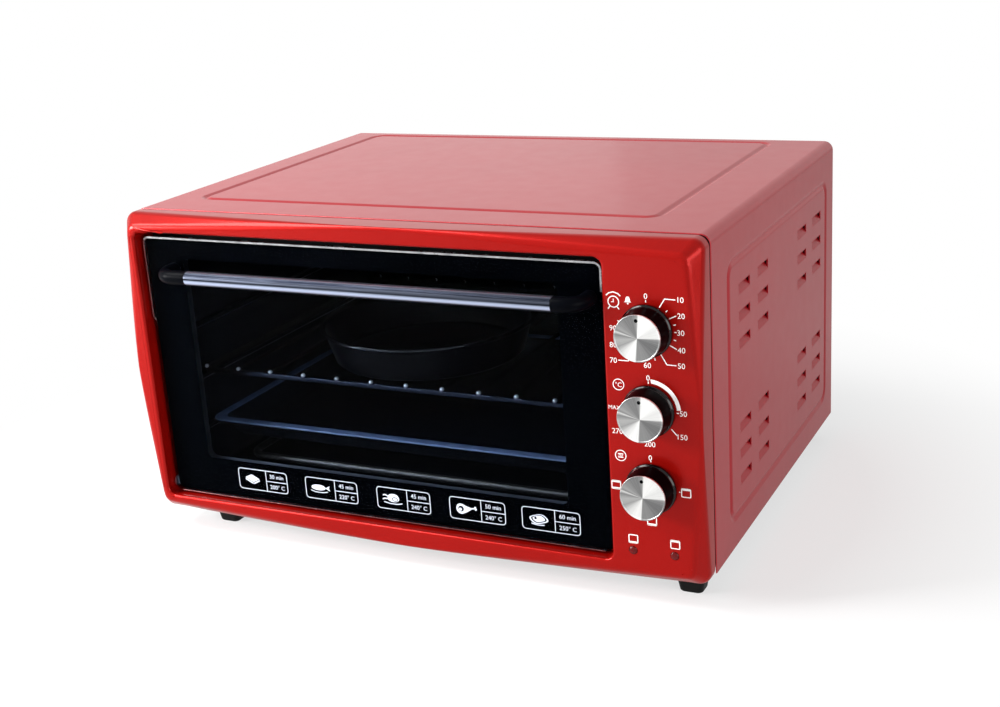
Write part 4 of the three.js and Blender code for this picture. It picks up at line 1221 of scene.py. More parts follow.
@dataclass
class Casing:
    """The red sheet casing with its grooves and louvres, its rear cover and its feet."""

    workshop: Workshop
    width: float = 500.0
    height: float = 260.0
    depth: float = 358.0
    corner: float = 8.0
    sheet: float = 1.2
    front: float = 0.3
    roll: float = 0.8
    groove_width: float = 7.4
    groove_depth: float = 1.4
    groove_corner: float = 15.0
    top_groove: Area = (-218.9, 198.9, 39.1, 348.9)
    side_groove: Area = (35.1, 334.9, 21.1, 230.9)
    louvre_columns: tuple[float, ...] = (64.0, 114.0, 233.0, 283.0)
    louvre_rows: tuple[float, ...] = (46.0, 67.5, 89.0, 156.0, 177.5, 199.0)
    louvre_length: float = 29.0
    louvre_height: float = 7.0
    louvre_reach: float = 4.6
    louvre_margin: float = 1.2
    louvre_ramp: float = 3.0
    cover_y: float = 356.5
    gland_place: Flat = (200.0, 35.0)

    def build(self) -> None:
        """Make the casing, its louvres, rear cover, gland, screws and feet."""
        fit(self.wrapper(), Body.CASING, Slot.RED_SATIN, "casing_wrapper")
        for side in (1, -1):
            fit(self.louvres(side), Body.CASING, Slot.RED_SATIN)
        fit(self.rear_cover(), Body.CASING, Slot.GALVANISED, "rear_cover")
        fit(self.rear_screws(), Body.CASING, Slot.STEEL)
        fit(self.gland(), Body.CASING, Slot.BLACK_PLASTIC, "cord_gland")
        for name, x, y in self.foot_places():
            fit(self.foot(name, x, y), Body.CASING, Slot.BLACK_PLASTIC, f"{name}_foot")

    def section(self, inset: float) -> list[Flat]:
        """The U of the sheet in x and z, moved inwards."""
        half, top, radius = self.width / 2 - inset, self.height - inset, self.corner - inset
        right = arc(half - radius, top - radius, radius, 0.0, 90.0, 12)
        left = arc(-half + radius, top - radius, radius, 90.0, 180.0, 12)
        return [(half, 0.0), *right, *left, (-half, 0.0)]

    def groove_profile(self) -> list[tuple[float, float]]:
        """Inset and depth across the pressed groove, from its outer to its inner shoulder."""
        across, down = self.groove_width, self.groove_depth
        half = [(-0.8, 0.0), (0.0, 0.04), (0.8, 0.2), (1.7, 0.5), (2.6, 0.8), (3.2, 0.95)]
        bottom = (across / 2, 1.0)
        profile = [*half, bottom, *((across - inset, deep) for inset, deep in reversed(half))]
        return [(inset, deep * down) for inset, deep in profile]

    def groove(
        self, shape: Shape, area: Area, place: Callable[[float, float, float], Point]
    ) -> tuple[list, list]:
        """Add one groove.

        Args:
            shape: the shape that gets it.
            area: its outer rectangle.
            place: turns two plane coordinates and a depth into a point.

        Returns:
            Its outer and inner border, as points of the flat face.
        """
        rings = []
        for inset, deep in self.groove_profile():
            outline = inward(area, inset, self.groove_corner - inset, 14)
            rings.append([place(u, v, deep) for u, v in outline])
        shape.grid(rings, wrap=True)
        return rings[0], rings[-1]

    def wrapper(self) -> Object:
        """The U of sheet: flat fields, grooves, round edges and rolled front and rear edges."""
        shape = Shape()
        half, top = self.width / 2, self.height
        near, far = self.front + self.roll, self.depth - self.roll
        straight = half - self.corner

        def on_top(u: float, v: float, deep: float) -> Point:
            return (u, v, top - deep)

        outer, inner = self.groove(shape, self.top_groove, on_top)
        border = [(-straight, near, top), (straight, near, top), (straight, far, top), (-straight, far, top)]
        shape.fill([border, outer], (0.0, 0.0, 1.0))
        shape.fill([inner], (0.0, 0.0, 1.0))
        for side in (1, -1):

            def on_side(u: float, v: float, deep: float, side: int = side) -> Point:
                return (side * (half - deep), u, v)

            outer, inner = self.groove(shape, self.side_groove, on_side)
            high = top - self.corner
            border = [on_side(u, v, 0.0) for u, v in ((near, 0.0), (far, 0.0), (far, high), (near, high))]
            shape.fill([border, outer], (side, 0.0, 0.0))
            holes = [[on_side(u, v, 0.0) for u, v in hole] for hole in self.louvre_holes()]
            shape.fill([inner, *holes], (side, 0.0, 0.0))
        for edge in (self.section(0.0)[1:14], self.section(0.0)[14:27]):
            shape.grid([[(x, near, z) for x, z in edge], [(x, far, z) for x, z in edge]])
        for start, direction in ((near, -1.0), (far, 1.0)):
            rows = []
            for turn in (0.0, 22.5, 45.0, 67.5, 90.0):
                inset = self.roll * (1 - math.cos(math.radians(turn)))
                y = start + direction * self.roll * math.sin(math.radians(turn))
                rows.append([(x, y, z) for x, z in self.section(inset)])
            shape.grid(rows)
        return shape.make("casing_wrapper_skin", [Finishes.RED_SATIN], sheet=self.sheet, sharp=35.0)

    def louvre_holes(self) -> list[list[Flat]]:
        """Outline of each louvre's place in y and z."""
        edge = self.louvre_margin
        holes = []
        for y in self.louvre_columns:
            for z in self.louvre_rows:
                y0, y1 = y - edge, y + self.louvre_length + edge
                z0, z1 = z - edge, z + self.louvre_height + edge
                holes.append([(y0, z0), (y1, z0), (y1, z1), (y0, z1)])
        return holes

    def louvres(self, side: int) -> Object:
        """The pressed scoops of one side, open at their rear end, in a darker and less glossy red that is
        painted shade.

        Args:
            side: 1 on the right, -1 on the left.

        Returns:
            All its louvres as one piece.
        """
        length, height, edge = self.louvre_length, self.louvre_height, self.louvre_margin
        along = [-edge, 0.0, 0.5, 1.2, 2.0, self.louvre_ramp, 10.0, 20.0, length - 0.4, length]
        across = [
            -edge, -0.4, 0.3, 1.2, height * 0.4, height * 0.7, height - 0.7, height - 0.25, height,
            height + 0.3, height + edge,
        ]
        walls = [0.0, 0.0, 0.03, 0.16, 0.42, 0.74, 0.97, 0.9, 0.12, 0.0, 0.0]
        first_y, first_z = self.louvre_columns[0], self.louvre_rows[0]
        rows = []
        for u in along:
            share = min(max(u, 0.0) / self.louvre_ramp, 1.0)
            ramp = self.louvre_reach * share * share * (3.0 - 2.0 * share)
            skin = [(side * (self.width / 2 - ramp * w), v) for v, w in zip(across, walls)]
            rows.append([(x, first_y + u, first_z + v) for x, v in skin])
        shape = Shape()
        shape.grid(rows)
        back = [length, length + edge]
        shape.grid([[(side * self.width / 2, first_y + u, first_z + v) for v in across] for u in back])
        # the scoops take the darker red: painted shade
        made = shape.make("louvre", [Finishes.RED_SCOOP_SHADE], facing=True)
        aim(made, Vector((side, 0.0, 0.0)))
        wall = made.modifiers.new("sheet", "SOLIDIFY")
        wall.thickness, wall.offset = self.sheet * MM, -1.0
        settle(made)
        smooth(made, 50.0)
        columns, rows_up = self.louvre_columns, self.louvre_rows
        self.workshop.repeat(made, Finishes.RED_SCOOP_SHADE, 3, (0.0, 0.0, rows_up[1] - rows_up[0]))
        self.workshop.repeat(made, Finishes.RED_SCOOP_SHADE, 2, (0.0, 0.0, rows_up[3] - rows_up[0]))
        self.workshop.repeat(made, Finishes.RED_SCOOP_SHADE, 2, (0.0, columns[1] - columns[0], 0.0))
        self.workshop.repeat(made, Finishes.RED_SCOOP_SHADE, 2, (0.0, columns[2] - columns[0], 0.0))
        made.name = "right_louvres" if side > 0 else "left_louvres"
        return made

    def rear_cover(self) -> Object:
        """The rear plate with two fields of slots, a pressed border and a turned rim."""
        shape = Shape()
        y, half, low, high = self.cover_y, 248.5, 1.2, 258.5
        rim, inset, press, slope = 6.0, 14.0, 1.6, 3.0
        slot_rows, slot_low, slot_pitch, slot_height, slot_half = 9, 76.0, 14.0, 4.0, 35.0
        area = (-half, half, low, high)
        outline = round_rect(*area, 6.5)
        field_line = inward(area, inset, 10.0)
        inner_line = inward(area, inset + slope, 8.0)
        holes = []
        for middle in (-110.0, 110.0):
            for row in range(slot_rows):
                z = slot_low + row * slot_pitch
                holes.append(round_rect(middle - slot_half, middle + slot_half, z, z + slot_height, 1.99, 5))
        holes.append(circle(*self.gland_place, 8.0, 28))
        shape.fill([upright(outline, y), upright(field_line, y)], (0.0, 1.0, 0.0))
        shape.grid([upright(field_line, y), upright(inner_line, y - press)], wrap=True)
        shape.fill([upright(loop, y - press) for loop in (inner_line, *holes)], (0.0, 1.0, 0.0))
        shape.grid([upright(outline, y), upright(outline, y - rim)], wrap=True)
        return shape.make("rear_cover_plate", [Finishes.GALVANISED], sheet=self.sheet, sharp=30.0)

    def rear_screws(self) -> Object:
        """Pan-head screws with a cross slot along the rear cover's border."""
        shape = Shape()
        dome = [(3.6, 0.0), (3.6, 0.35), (3.3, 0.8), (2.6, 1.15), (1.9, 1.3)]
        origin = (-CASING_ORIGIN[0], -CASING_ORIGIN[1], -CASING_ORIGIN[2])
        shape.turned(dome, "y", origin, 20)
        slot = [(1.9, 0.4), (0.4, 0.4), (0.4, 1.9), (-0.4, 1.9), (-0.4, 0.4), (-1.9, 0.4)]
        cross = slot + [(-u, -v) for u, v in slot]
        ring = circle(0.0, 0.0, 1.9, 20)
        top = [(origin[0] + u, origin[1] + 1.3, origin[2] + v) for u, v in ring]
        star = [(origin[0] + u * 0.9, origin[1] + 1.3, origin[2] + v * 0.9) for u, v in cross]
        floor = [(x, y - 0.9, z) for x, y, z in star]
        shape.fill([top, star], (0.0, 1.0, 0.0))
        shape.grid([star, floor], wrap=True)
        shape.fill([floor], (0.0, 1.0, 0.0))
        head = shape.make("screw_head", [Finishes.STEEL], sharp=30.0)
        spots = [(x, self.cover_y, z) for x in (-240.0, 240.0) for z in (30.0, 130.0, 230.0)]
        spots += [(x, self.cover_y, 251.0) for x in (-160.0, 0.0, 160.0)]
        return self.workshop.scatter("rear_cover_screws", head, Finishes.STEEL, spots)

    def gland(self) -> Object:
        """The moulded cord gland in the rear cover."""
        shape = Shape()
        profile = [(4.0, 349.0), (10.4, 349.0), (11.0, 349.6), (11.0, 354.4), (10.4, 355.0), (7.7, 355.0)]
        profile += [(7.7, 356.8), (10.4, 356.8), (11.0, 357.4), (11.0, 359.2), (10.4, 359.8), (7.7, 359.9)]
        for ring in range(3):
            start = 360.6 + ring * 2.8
            radius = 7.3 - ring * 0.8
            profile += [
                (radius, start), (radius, start + 1.5), (radius - 0.9, start + 1.9),
                (radius - 0.9, start + 2.5),
            ]
        profile += [(5.2, 369.4), (4.8, 369.8), (4.0, 369.8), (4.0, 349.0)]
        shape.turned(profile, "y", (self.gland_place[0], 0.0, self.gland_place[1]), 32)
        return shape.make("cord_gland_body", [Finishes.FOOT], sharp=30.0)

    def foot_places(self) -> list[tuple[str, float, float]]:
        """Name, x and y of each foot."""
        sides, ends = (("left", -198.0), ("right", 228.0)), (("front", 11.0), ("rear", 336.0))
        return [(f"{end}_{side}", x, y) for end, y in ends for side, x in sides]

    def foot(self, name: str, x: float, y: float) -> Object:
        """A tapered rubber foot with a round lower edge and a recess for its screw.

        Args:
            name: which foot.
            x: its middle.
            y: its middle.

        Returns:
            The foot.
        """
        shape = Shape()
        bottom, top = -21.0, 1.2
        levels = [
            (bottom, -1.3), (bottom + 0.35, -0.5), (bottom + 1.2, 0.0), (top - 0.8, 0.0), (top - 0.2, -0.2),
            (top, -0.7),
        ]
        rings = []
        for z, grow in levels:
            share = (z - bottom) / (top - bottom)
            half_x, half_y = 9.0 + 4.0 * share + grow, 8.0 + 3.0 * share + grow
            outline = round_rect(x - half_x, x + half_x, y - half_y, y + half_y, 4.0, 8)
            rings.append([(u, v, z) for u, v in outline])
        recess = [(u, v, bottom) for u, v in circle(x, y, 4.4, 24)]
        deep = [(u, v, bottom + 13.0) for u, v in circle(x, y, 4.4, 24)]
        shape.grid(rings, wrap=True)
        shape.fill([rings[0], recess], (0.0, 0.0, -1.0))
        shape.grid([recess, deep], wrap=True)
        shape.fill([deep], (0.0, 0.0, -1.0))
        shape.cap(rings[-1])
        return shape.make(f"{name}_foot_body", [Finishes.FOOT], sharp=35.0)


def aim(made: Object, way: Vector) -> None:
    """Turn an open skin so that its faces look one way on the whole.

    Args:
        made: the object.
        way: the direction.
    """
    total = sum((polygon.normal * polygon.area for polygon in made.data.polygons), Vector())
    if total.dot(way) < 0:
        made.data.flip_normals()


# Bezel


@dataclass
class Bezel:
    """The glossy one-piece front: a band and chamfer round a flat face with the door opening."""

    half: float = 250.0
    top: float = 260.0
    bottom: float = -3.4
    face: float = FACE
    back: float = -0.75
    corner: float = 9.0
    crease_corner: float = 6.5
    wall: float = 2.0
    opening: Area = (-235.8, 177.5, 12.0, 246.0)
    opening_corner: float = 7.0
    lip: float = 2.2
    knob_hole: float = 4.0
    lamp_hole: float = 3.4

    def build(self) -> None:
        """Make the bezel."""
        fit(self.front(), Body.CASING, Slot.RED_GLOSS, "front_bezel")

    def inset(self, distance: float, length: float) -> float:
        """How far the face's edge lies inside the band, at a distance from the corner."""
        least, more, curve = 1.5, 8.2, 1.2
        return least + more * max(1 - distance / length, 0.0) ** curve

    def chamfer(self, distance: float, length: float) -> float:
        """How far the band's edge lies behind the face, at a distance from the corner."""
        least, more, curve = 1.0, 12.5, 1.5
        return least + more * max(1 - distance / length, 0.0) ** curve

    def stations(self) -> list[tuple[Flat, Flat, float]]:
        """Outer point, face point and chamfer depth, all round the bezel.

        Returns:
            One entry for each station, anticlockwise from the lower right corner.
        """
        centre, middle, steps = (self.top + self.bottom) / 2, (self.top - self.bottom) / 2, 14
        found = []
        corners = ((1, -1, -90.0), (1, 1, 0.0), (-1, 1, 90.0), (-1, -1, 180.0))
        for order, (sx, sz, start) in enumerate(corners):
            grow_x, grow_z = self.inset(self.corner, middle), self.inset(self.corner, self.half)
            deep = self.chamfer(self.corner, middle)
            outer = (sx * (self.half - self.corner), centre + sz * (middle - self.corner))
            inner = (
                sx * (self.half - grow_x - self.crease_corner),
                centre + sz * (middle - grow_z - self.crease_corner),
            )
            for i in range(steps + 1):
                turn = math.radians(start + 90.0 * i / steps)
                reach = (math.cos(turn), math.sin(turn))
                first = (outer[0] + self.corner * reach[0], outer[1] + self.corner * reach[1])
                last = (inner[0] + self.crease_corner * reach[0], inner[1] + self.crease_corner * reach[1])
                found.append((first, last, deep))
            upright = order % 2 == 0
            length = middle if upright else self.half
            count = 30 if upright else 56
            begin = length - self.corner
            for i in range(1, count):
                along = begin - 2 * begin * i / count
                distance = length - abs(along)
                grow, deep = self.inset(distance, length), self.chamfer(distance, length)
                if upright:
                    first = (sx * self.half, centre - sx * along)
                    last = (sx * (self.half - grow), centre - sx * along)
                else:
                    first = (sz * along, centre + sz * middle)
                    last = (sz * along, centre + sz * (middle - grow))
                found.append((first, last, deep))
        return found

    def rows(self) -> list[list[Point]]:
        """Points across the band, chamfer and face edge, at each station."""
        rows = []
        for first, last, deep in self.stations():
            outer, inner = np.array(first), np.array(last)
            reach = float(np.linalg.norm(inner - outer))
            way = (inner - outer) / reach
            slope = math.hypot(reach, deep)
            soft, crisp = min(3.2, slope * 0.42), min(3.6, slope * 0.45)
            edge = self.face + deep
            line = [(0.0, self.back - 3.4), (0.0, edge), (reach, self.face), (reach + crisp + 0.4, self.face)]
            line = rounded(line, (0.0, soft, crisp, 0.0), 8)
            line = [
                (2.2, self.back), (1.5, self.back - 0.25), (0.8, self.back - 0.9), (0.25, self.back - 2.0),
                *line,
            ]
            rows.append([(*(outer + way * s), y) for s, y in line])
        return [[(float(x), float(y), float(z)) for x, z, y in row] for row in rows]

    def front(self) -> Object:
        """The whole front as one moulded wall."""
        shape = Shape()
        rows = self.rows()
        shape.grid([*rows, rows[0]])
        border = [row[-1] for row in rows]
        lip = []
        for turn in range(0, 91, 15):
            t = math.radians(turn)
            out, deep = self.lip * (1 - math.sin(t)), self.lip * (1 - math.cos(t))
            outline = inward(self.opening, -out, self.opening_corner + out, 12)
            lip.append(upright(outline, self.face + deep))
        lip.append(upright(round_rect(*self.opening, self.opening_corner, 12), self.back))
        shape.grid(lip, wrap=True)
        rounds = [(KNOB_X, z, self.knob_hole) for z in KNOB_HEIGHTS]
        rounds += [(x, LAMPS_Z, self.lamp_hole) for x in LAMPS_X]
        holes = [upright(circle(*spot, 24), self.face) for spot in rounds]
        shape.fill([border, lip[0], *holes])
        return shape.make("front_bezel_moulding", [Finishes.RED_GLOSS], sheet=self.wall, sharp=38.0)


# Controls


class Dial(Enum):
    """The three dials with their x, z and the body that their knob turns with."""

    TIMER = (KNOB_X, KNOB_HEIGHTS[0], Body.TIMER, "timer")
    THERMOSTAT = (KNOB_X, KNOB_HEIGHTS[1], Body.THERMOSTAT, "thermostat")
    SELECTOR = (KNOB_X, KNOB_HEIGHTS[2], Body.SELECTOR, "selector")


@dataclass
class Controls:
    """Knobs with turned metal discs, the white print round them and the two lamps."""

    workshop: Workshop
    face: float = FACE
    ink: float = 0.04
    figure: float = 4.2
    thin: float = 0.72
    lamp_radius: float = 3.1
    lamp_signs: tuple[Flat, Flat] = ((194.6, 32.2), (227.2, 32.2))

    def build(self) -> None:
        """Make knobs, print and lamps."""
        for dial in Dial:
            x, z, body, word = dial.value
            fit(self.knob(word, x, z), body, Slot.BLACK_PLASTIC, f"{word}_knob")
            fit(self.disc(word, x, z), body, Slot.SPUN_METAL, f"{word}_knob_disc")
            fit(self.mark(word, x, z), body, Slot.BLACK_PLASTIC)
        fit(self.timer_ticks(), Body.CASING, Slot.RED_GLOSS)
        fit(self.timer_print(), Body.CASING, Slot.RED_GLOSS)
        fit(self.thermostat_print(), Body.CASING, Slot.RED_GLOSS)
        fit(self.selector_print(), Body.CASING, Slot.RED_GLOSS)
        for word, x in zip(("left", "right"), LAMPS_X):
            fit(self.lamp(word, x), Body.CASING, Slot.RED_LENS, f"{word}_lamp")

    def knob(self, word: str, x: float, z: float) -> Object:
        """The moulded knob: a round flange, a waist and a tapering grip.

        Args:
            word: the dial's name.
            x: its axis.
            z: its axis.

        Returns:
            The knob.
        """
        shape = Shape()
        grip = [(0.0, -44.45), (17.0, -44.45), (17.3, -44.3), (17.5, -43.6), (17.9, -34.5), (18.05, -30.6)]
        rim = [
            (18.3, -29.7), (18.8, -29.35), (19.25, -29.0), (19.5, -28.4), (19.5, -27.2), (19.3, -26.8),
            (18.9, -26.7),
        ]
        bore = [(3.3, -26.7), (3.3, -37.3), (0.0, -37.3)]
        for mark, profile in ((0, grip), (1, [grip[-1], *rim]), (0, [rim[-1], *bore])):
            shape.mark = mark
            shape.turned(profile, "y", (x, 0.0, z), 96)
        return shape.make(f"{word}_knob_body", [Finishes.KNOB, Finishes.KNOB_RIM], sharp=50.0)

    def disc(self, word: str, x: float, z: float) -> Object:
        """The turned metal disc on the knob's face, with a raised bright rim and a drilled dot.

        Args:
            word: the dial's name.
            x: its axis.
            z: its axis.

        Returns:
            The disc, with its polar map.
        """
        shape = Shape()
        profile = [
            (0.0, -45.52), (4.0, -45.5), (9.0, -45.5), (13.0, -45.5), (15.9, -45.5), (16.2, -45.6),
            (16.45, -45.9), (16.7, -46.0), (17.0, -46.0), (17.2, -45.85), (17.25, -45.6), (17.25, -44.6),
            (0.0, -44.6),
        ]
        shape.turned(profile, "y", (x, 0.0, z), 120)
        made = shape.make(f"{word}_knob_disc_plate", [Finishes.DISC], sharp=40.0)
        polar_map(made, x, z)
        return made

    def mark(self, word: str, x: float, z: float) -> Object:
        """The black dot that points to a setting."""
        shape = Shape()
        profile = [(0.0, -45.62), (0.9, -45.62), (1.25, -45.58), (1.4, -45.48), (1.4, -44.9), (0.0, -44.9)]
        shape.turned(profile, "y", (x - 0.4, 0.0, z + 12.8), 24)
        return shape.make(f"{word}_knob_mark", [Finishes.KNOB], sharp=50.0)

    def sheet(self) -> Print:
        """An empty print on the panel."""
        return Print(self.face - self.ink)

    def timer_ticks(self) -> Object:
        """Short ticks round the timer, between its long lines."""
        x, z = Dial.TIMER.value[:2]
        ticks = []
        for start, turn, count in (
            (0.0, 1.0, 1), (45.0, 30.0, 3), (165.0, 30.0, 1), (195.0, 30.0, 1), (225.0, 30.0, 3)
        ):
            sheet = self.sheet()
            t = math.radians(start)
            ends = [(x + r * math.sin(t), z + r * math.cos(t)) for r in (20.6, 22.4)]
            sheet.line(ends, self.thin)
            tick = sheet.make("timer_tick", Finishes.WHITE_INK)
            ticks.append(self.workshop.repeat(tick, Finishes.WHITE_INK, count, turn=turn, centre=(x, 0.0, z)))
        return merged(ticks, "timer_ticks")

    def timer_print(self) -> Object:
        """Minutes round the timer with their lines, a clock sign and a bell sign."""
        x, z = Dial.TIMER.value[:2]
        sheet = self.sheet()
        figures = {
            "0": (0.0, 25.3), "10": (25.6, 24.1), "20": (25.7, 12.5), "30": (25.2, 0.2), "40": (25.4, -12.5),
            "50": (25.1, -24.1), "60": (-0.2, -25.6), "70": (-25.9, -23.9), "80": (-25.6, -12.3),
            "90": (-25.3, 0.2),
        }
        lines = [
            [(10.0, 17.6), (14.0, 24.0), (21.8, 23.8)],
            [(17.2, 9.8), (22.2, 12.3)],
            [(17.0, -9.6), (22.0, -12.2)],
            [(10.0, -16.8), (14.4, -24.1), (21.4, -24.2)],
            [(-10.0, -16.8), (-14.4, -23.7), (-22.2, -23.7)],
            [(-17.0, -9.6), (-22.0, -12.2)],
            [(20.6, 0.2), (22.2, 0.2)],
            [(-20.6, 0.2), (-22.2, 0.2)],
        ]
        self.scale(sheet, Dial.TIMER, figures, lines)
        self.clock_sign(sheet, x - 24.2, z + 19.6)
        self.bell_sign(sheet, x - 13.4, z + 21.6)
        return sheet.make("timer_print", Finishes.WHITE_INK)

    def scale(
        self, sheet: Print, dial: Dial, figures: dict[str, Flat], lines: Sequence[Sequence[Flat]]
    ) -> None:
        """Print figures and lines placed from a dial's axis.

        Args:
            sheet: where they are drawn.
            dial: the dial.
            figures: the middle of each figure.
            lines: the corners of each line.
        """
        x, z = dial.value[:2]
        for words, (dx, dz) in figures.items():
            sheet.text(words, x + dx, z + dz, self.figure)
        for corners in lines:
            sheet.line([(x + dx, z + dz) for dx, dz in corners], self.thin)

    def clock_sign(self, sheet: Print, u: float, v: float) -> None:
        """An alarm clock: a dial with hands, two bells and two feet."""
        sheet.ring(u, v, 4.4, 0.75)
        sheet.line([(u, v + 2.2), (u, v), (u - 1.7, v - 0.2)], 0.6)
        sheet.line(
            [(u - 5.4, v + 4.4), (u - 3.4, v + 6.2), (u, v + 7.2), (u + 3.4, v + 6.2), (u + 5.4, v + 4.4)],
            0.8,
        )
        for side in (-1, 1):
            sheet.line([(u + side * 2.8, v - 3.6), (u + side * 4.2, v - 5.4)], 0.8)
        sheet.area(circle(u, v, 0.5, 12))

    def bell_sign(self, sheet: Print, u: float, v: float) -> None:
        """A small bell."""
        sheet.area(
            [
                (u - 2.6, v - 1.8), (u + 2.6, v - 1.8), (u + 1.8, v - 0.8), (u + 1.5, v + 1.3),
                (u + 0.7, v + 2.4), (u - 0.7, v + 2.4), (u - 1.5, v + 1.3), (u - 1.8, v - 0.8),
            ]
        )
        sheet.area(circle(u, v - 2.7, 0.65, 12))

    def thermostat_print(self) -> Object:
        """Degrees round the thermostat, its growing arc and a degree sign."""
        x, z = Dial.THERMOSTAT.value[:2]
        sheet = self.sheet()
        figures = {
            "0": (-0.1, 24.9), "50": (25.6, 0.2), "150": (24.6, -17.6), "200": (-0.3, -25.6),
            "270": (-25.0, -18.0),
        }
        lines = [[(0.0, 20.4), (0.0, 22.2)], [(20.7, 0.2), (22.4, 0.2)], [(16.4, -12.4), (20.6, -17.0)]]
        self.scale(sheet, Dial.THERMOSTAT, figures, lines)
        sheet.text("MAX", x - 26.6, z + 0.1, 3.2)
        outer = [(x + dx, z + dz) for dx, dz in arc(0.0, 0.0, 24.0, 86.0, 6.0, 28)]
        inner = [(x + dx, z + dz) for dx, dz in arc(0.0, 0.0, 21.0, 6.0, 84.0, 28)]
        sheet.area(outer + inner)
        sheet.ring(x - 22.8, z + 17.8, 4.4, 0.6)
        sheet.text("°C", x - 22.8, z + 17.8, 3.6)
        return sheet.make("thermostat_print", Finishes.WHITE_INK)

    def element_sign(self, sheet: Print, u: float, v: float, upper: bool, lower: bool) -> None:
        """A cavity as a small square; a thick bar shows each heater that is on.

        Args:
            sheet: where it is drawn.
            u: x of its middle.
            v: z of its middle.
            upper: True where the upper heater is on.
            lower: True where the lower heater is on.
        """
        sheet.frame((u - 3.8, u + 3.8, v - 3.6, v + 3.6), 1.1, 0.75)
        for shown, side in ((upper, 1), (lower, -1)):
            if shown:
                near, far = v + side * 1.9, v + side * 3.2
                sheet.area([(u - 3.3, near), (u + 3.3, near), (u + 3.3, far), (u - 3.3, far)])

    def selector_print(self) -> Object:
        """The heating choices as element signs, a program sign and the lamps' signs."""
        x, z = Dial.SELECTOR.value[:2]
        sheet = self.sheet()
        sheet.text("0", x - 0.4, z + 23.8, self.figure)
        sheet.line([(x, z + 20.3), (x, z + 21.6)], self.thin)
        sheet.line([(x + 20.9, z - 0.5), (x + 21.8, z - 0.5)], self.thin)
        self.element_sign(sheet, x + 26.2, z - 0.7, True, False)
        self.element_sign(sheet, x - 0.6, z - 26.4, False, True)
        self.element_sign(sheet, x - 27.6, z - 0.7, True, True)
        for spot, upper in zip(self.lamp_signs, (False, True)):
            self.element_sign(sheet, *spot, upper, not upper)
        u, v = x - 23.2, z + 22.9
        sheet.ring(u, v, 4.4, 0.6)
        for side in (-1, 1):
            low, high = v + side * 1.3 - 0.35, v + side * 1.3 + 0.35
            sheet.area([(u - 2.0, low), (u + 2.0, low), (u + 2.0, high), (u - 2.0, high)])
        sheet.line([(u - 1.7, v), (u - 0.6, v + 0.5), (u + 0.6, v - 0.5), (u + 1.7, v)], 0.4)
        return sheet.make("selector_print", Finishes.WHITE_INK)

    def lamp(self, word: str, x: float) -> Object:
        """A small domed lens of red plastic with rings moulded behind its face."""
        shape = Shape()
        radius, dome = self.lamp_radius, 1.2
        profile = [(0.0, self.face - dome)]
        profile += [
            (radius * math.sin(t), self.face - dome * math.cos(t)) for t in np.linspace(0.15, math.pi / 2, 10)
        ]
        profile += [
            (radius, -23.7), (radius + 1.6, -23.7), (radius + 1.6, -22.2), (radius, -22.2), (radius, -13.7),
            (0.0, -13.7),
        ]
        shape.turned(profile, "y", (x, 0.0, LAMPS_Z), 36)
        return shape.make(f"{word}_lamp_lens", [Finishes.LENS], sharp=45.0)


def polar_map(made: Object, x: float, z: float) -> None:
    """Give a turned piece a map: turn round its axis, then radius.

    Args:
        made: the piece.
        x: its axis, in millimetres.
        z: its axis, in millimetres.
    """
    centre = framed(x, 0.0, z)
    mesh = made.data
    layer = mesh.uv_layers.new(name="polar")

    def turn_of(place: Vector) -> float:
        return math.atan2(place[2] - centre[2], place[0] - centre[0]) / (2 * math.pi)

    for polygon in mesh.polygons:
        middle = turn_of(polygon.center)
        for loop in polygon.loop_indices:
            place = mesh.vertices[mesh.loops[loop].vertex_index].co
            radius = math.hypot(place[0] - centre[0], place[2] - centre[2]) / MM / POLAR_REACH
            turn = turn_of(place) if radius > 1e-3 else middle
            turn += round(middle - turn)
            layer.data[loop].uv = (turn, radius)


# Door


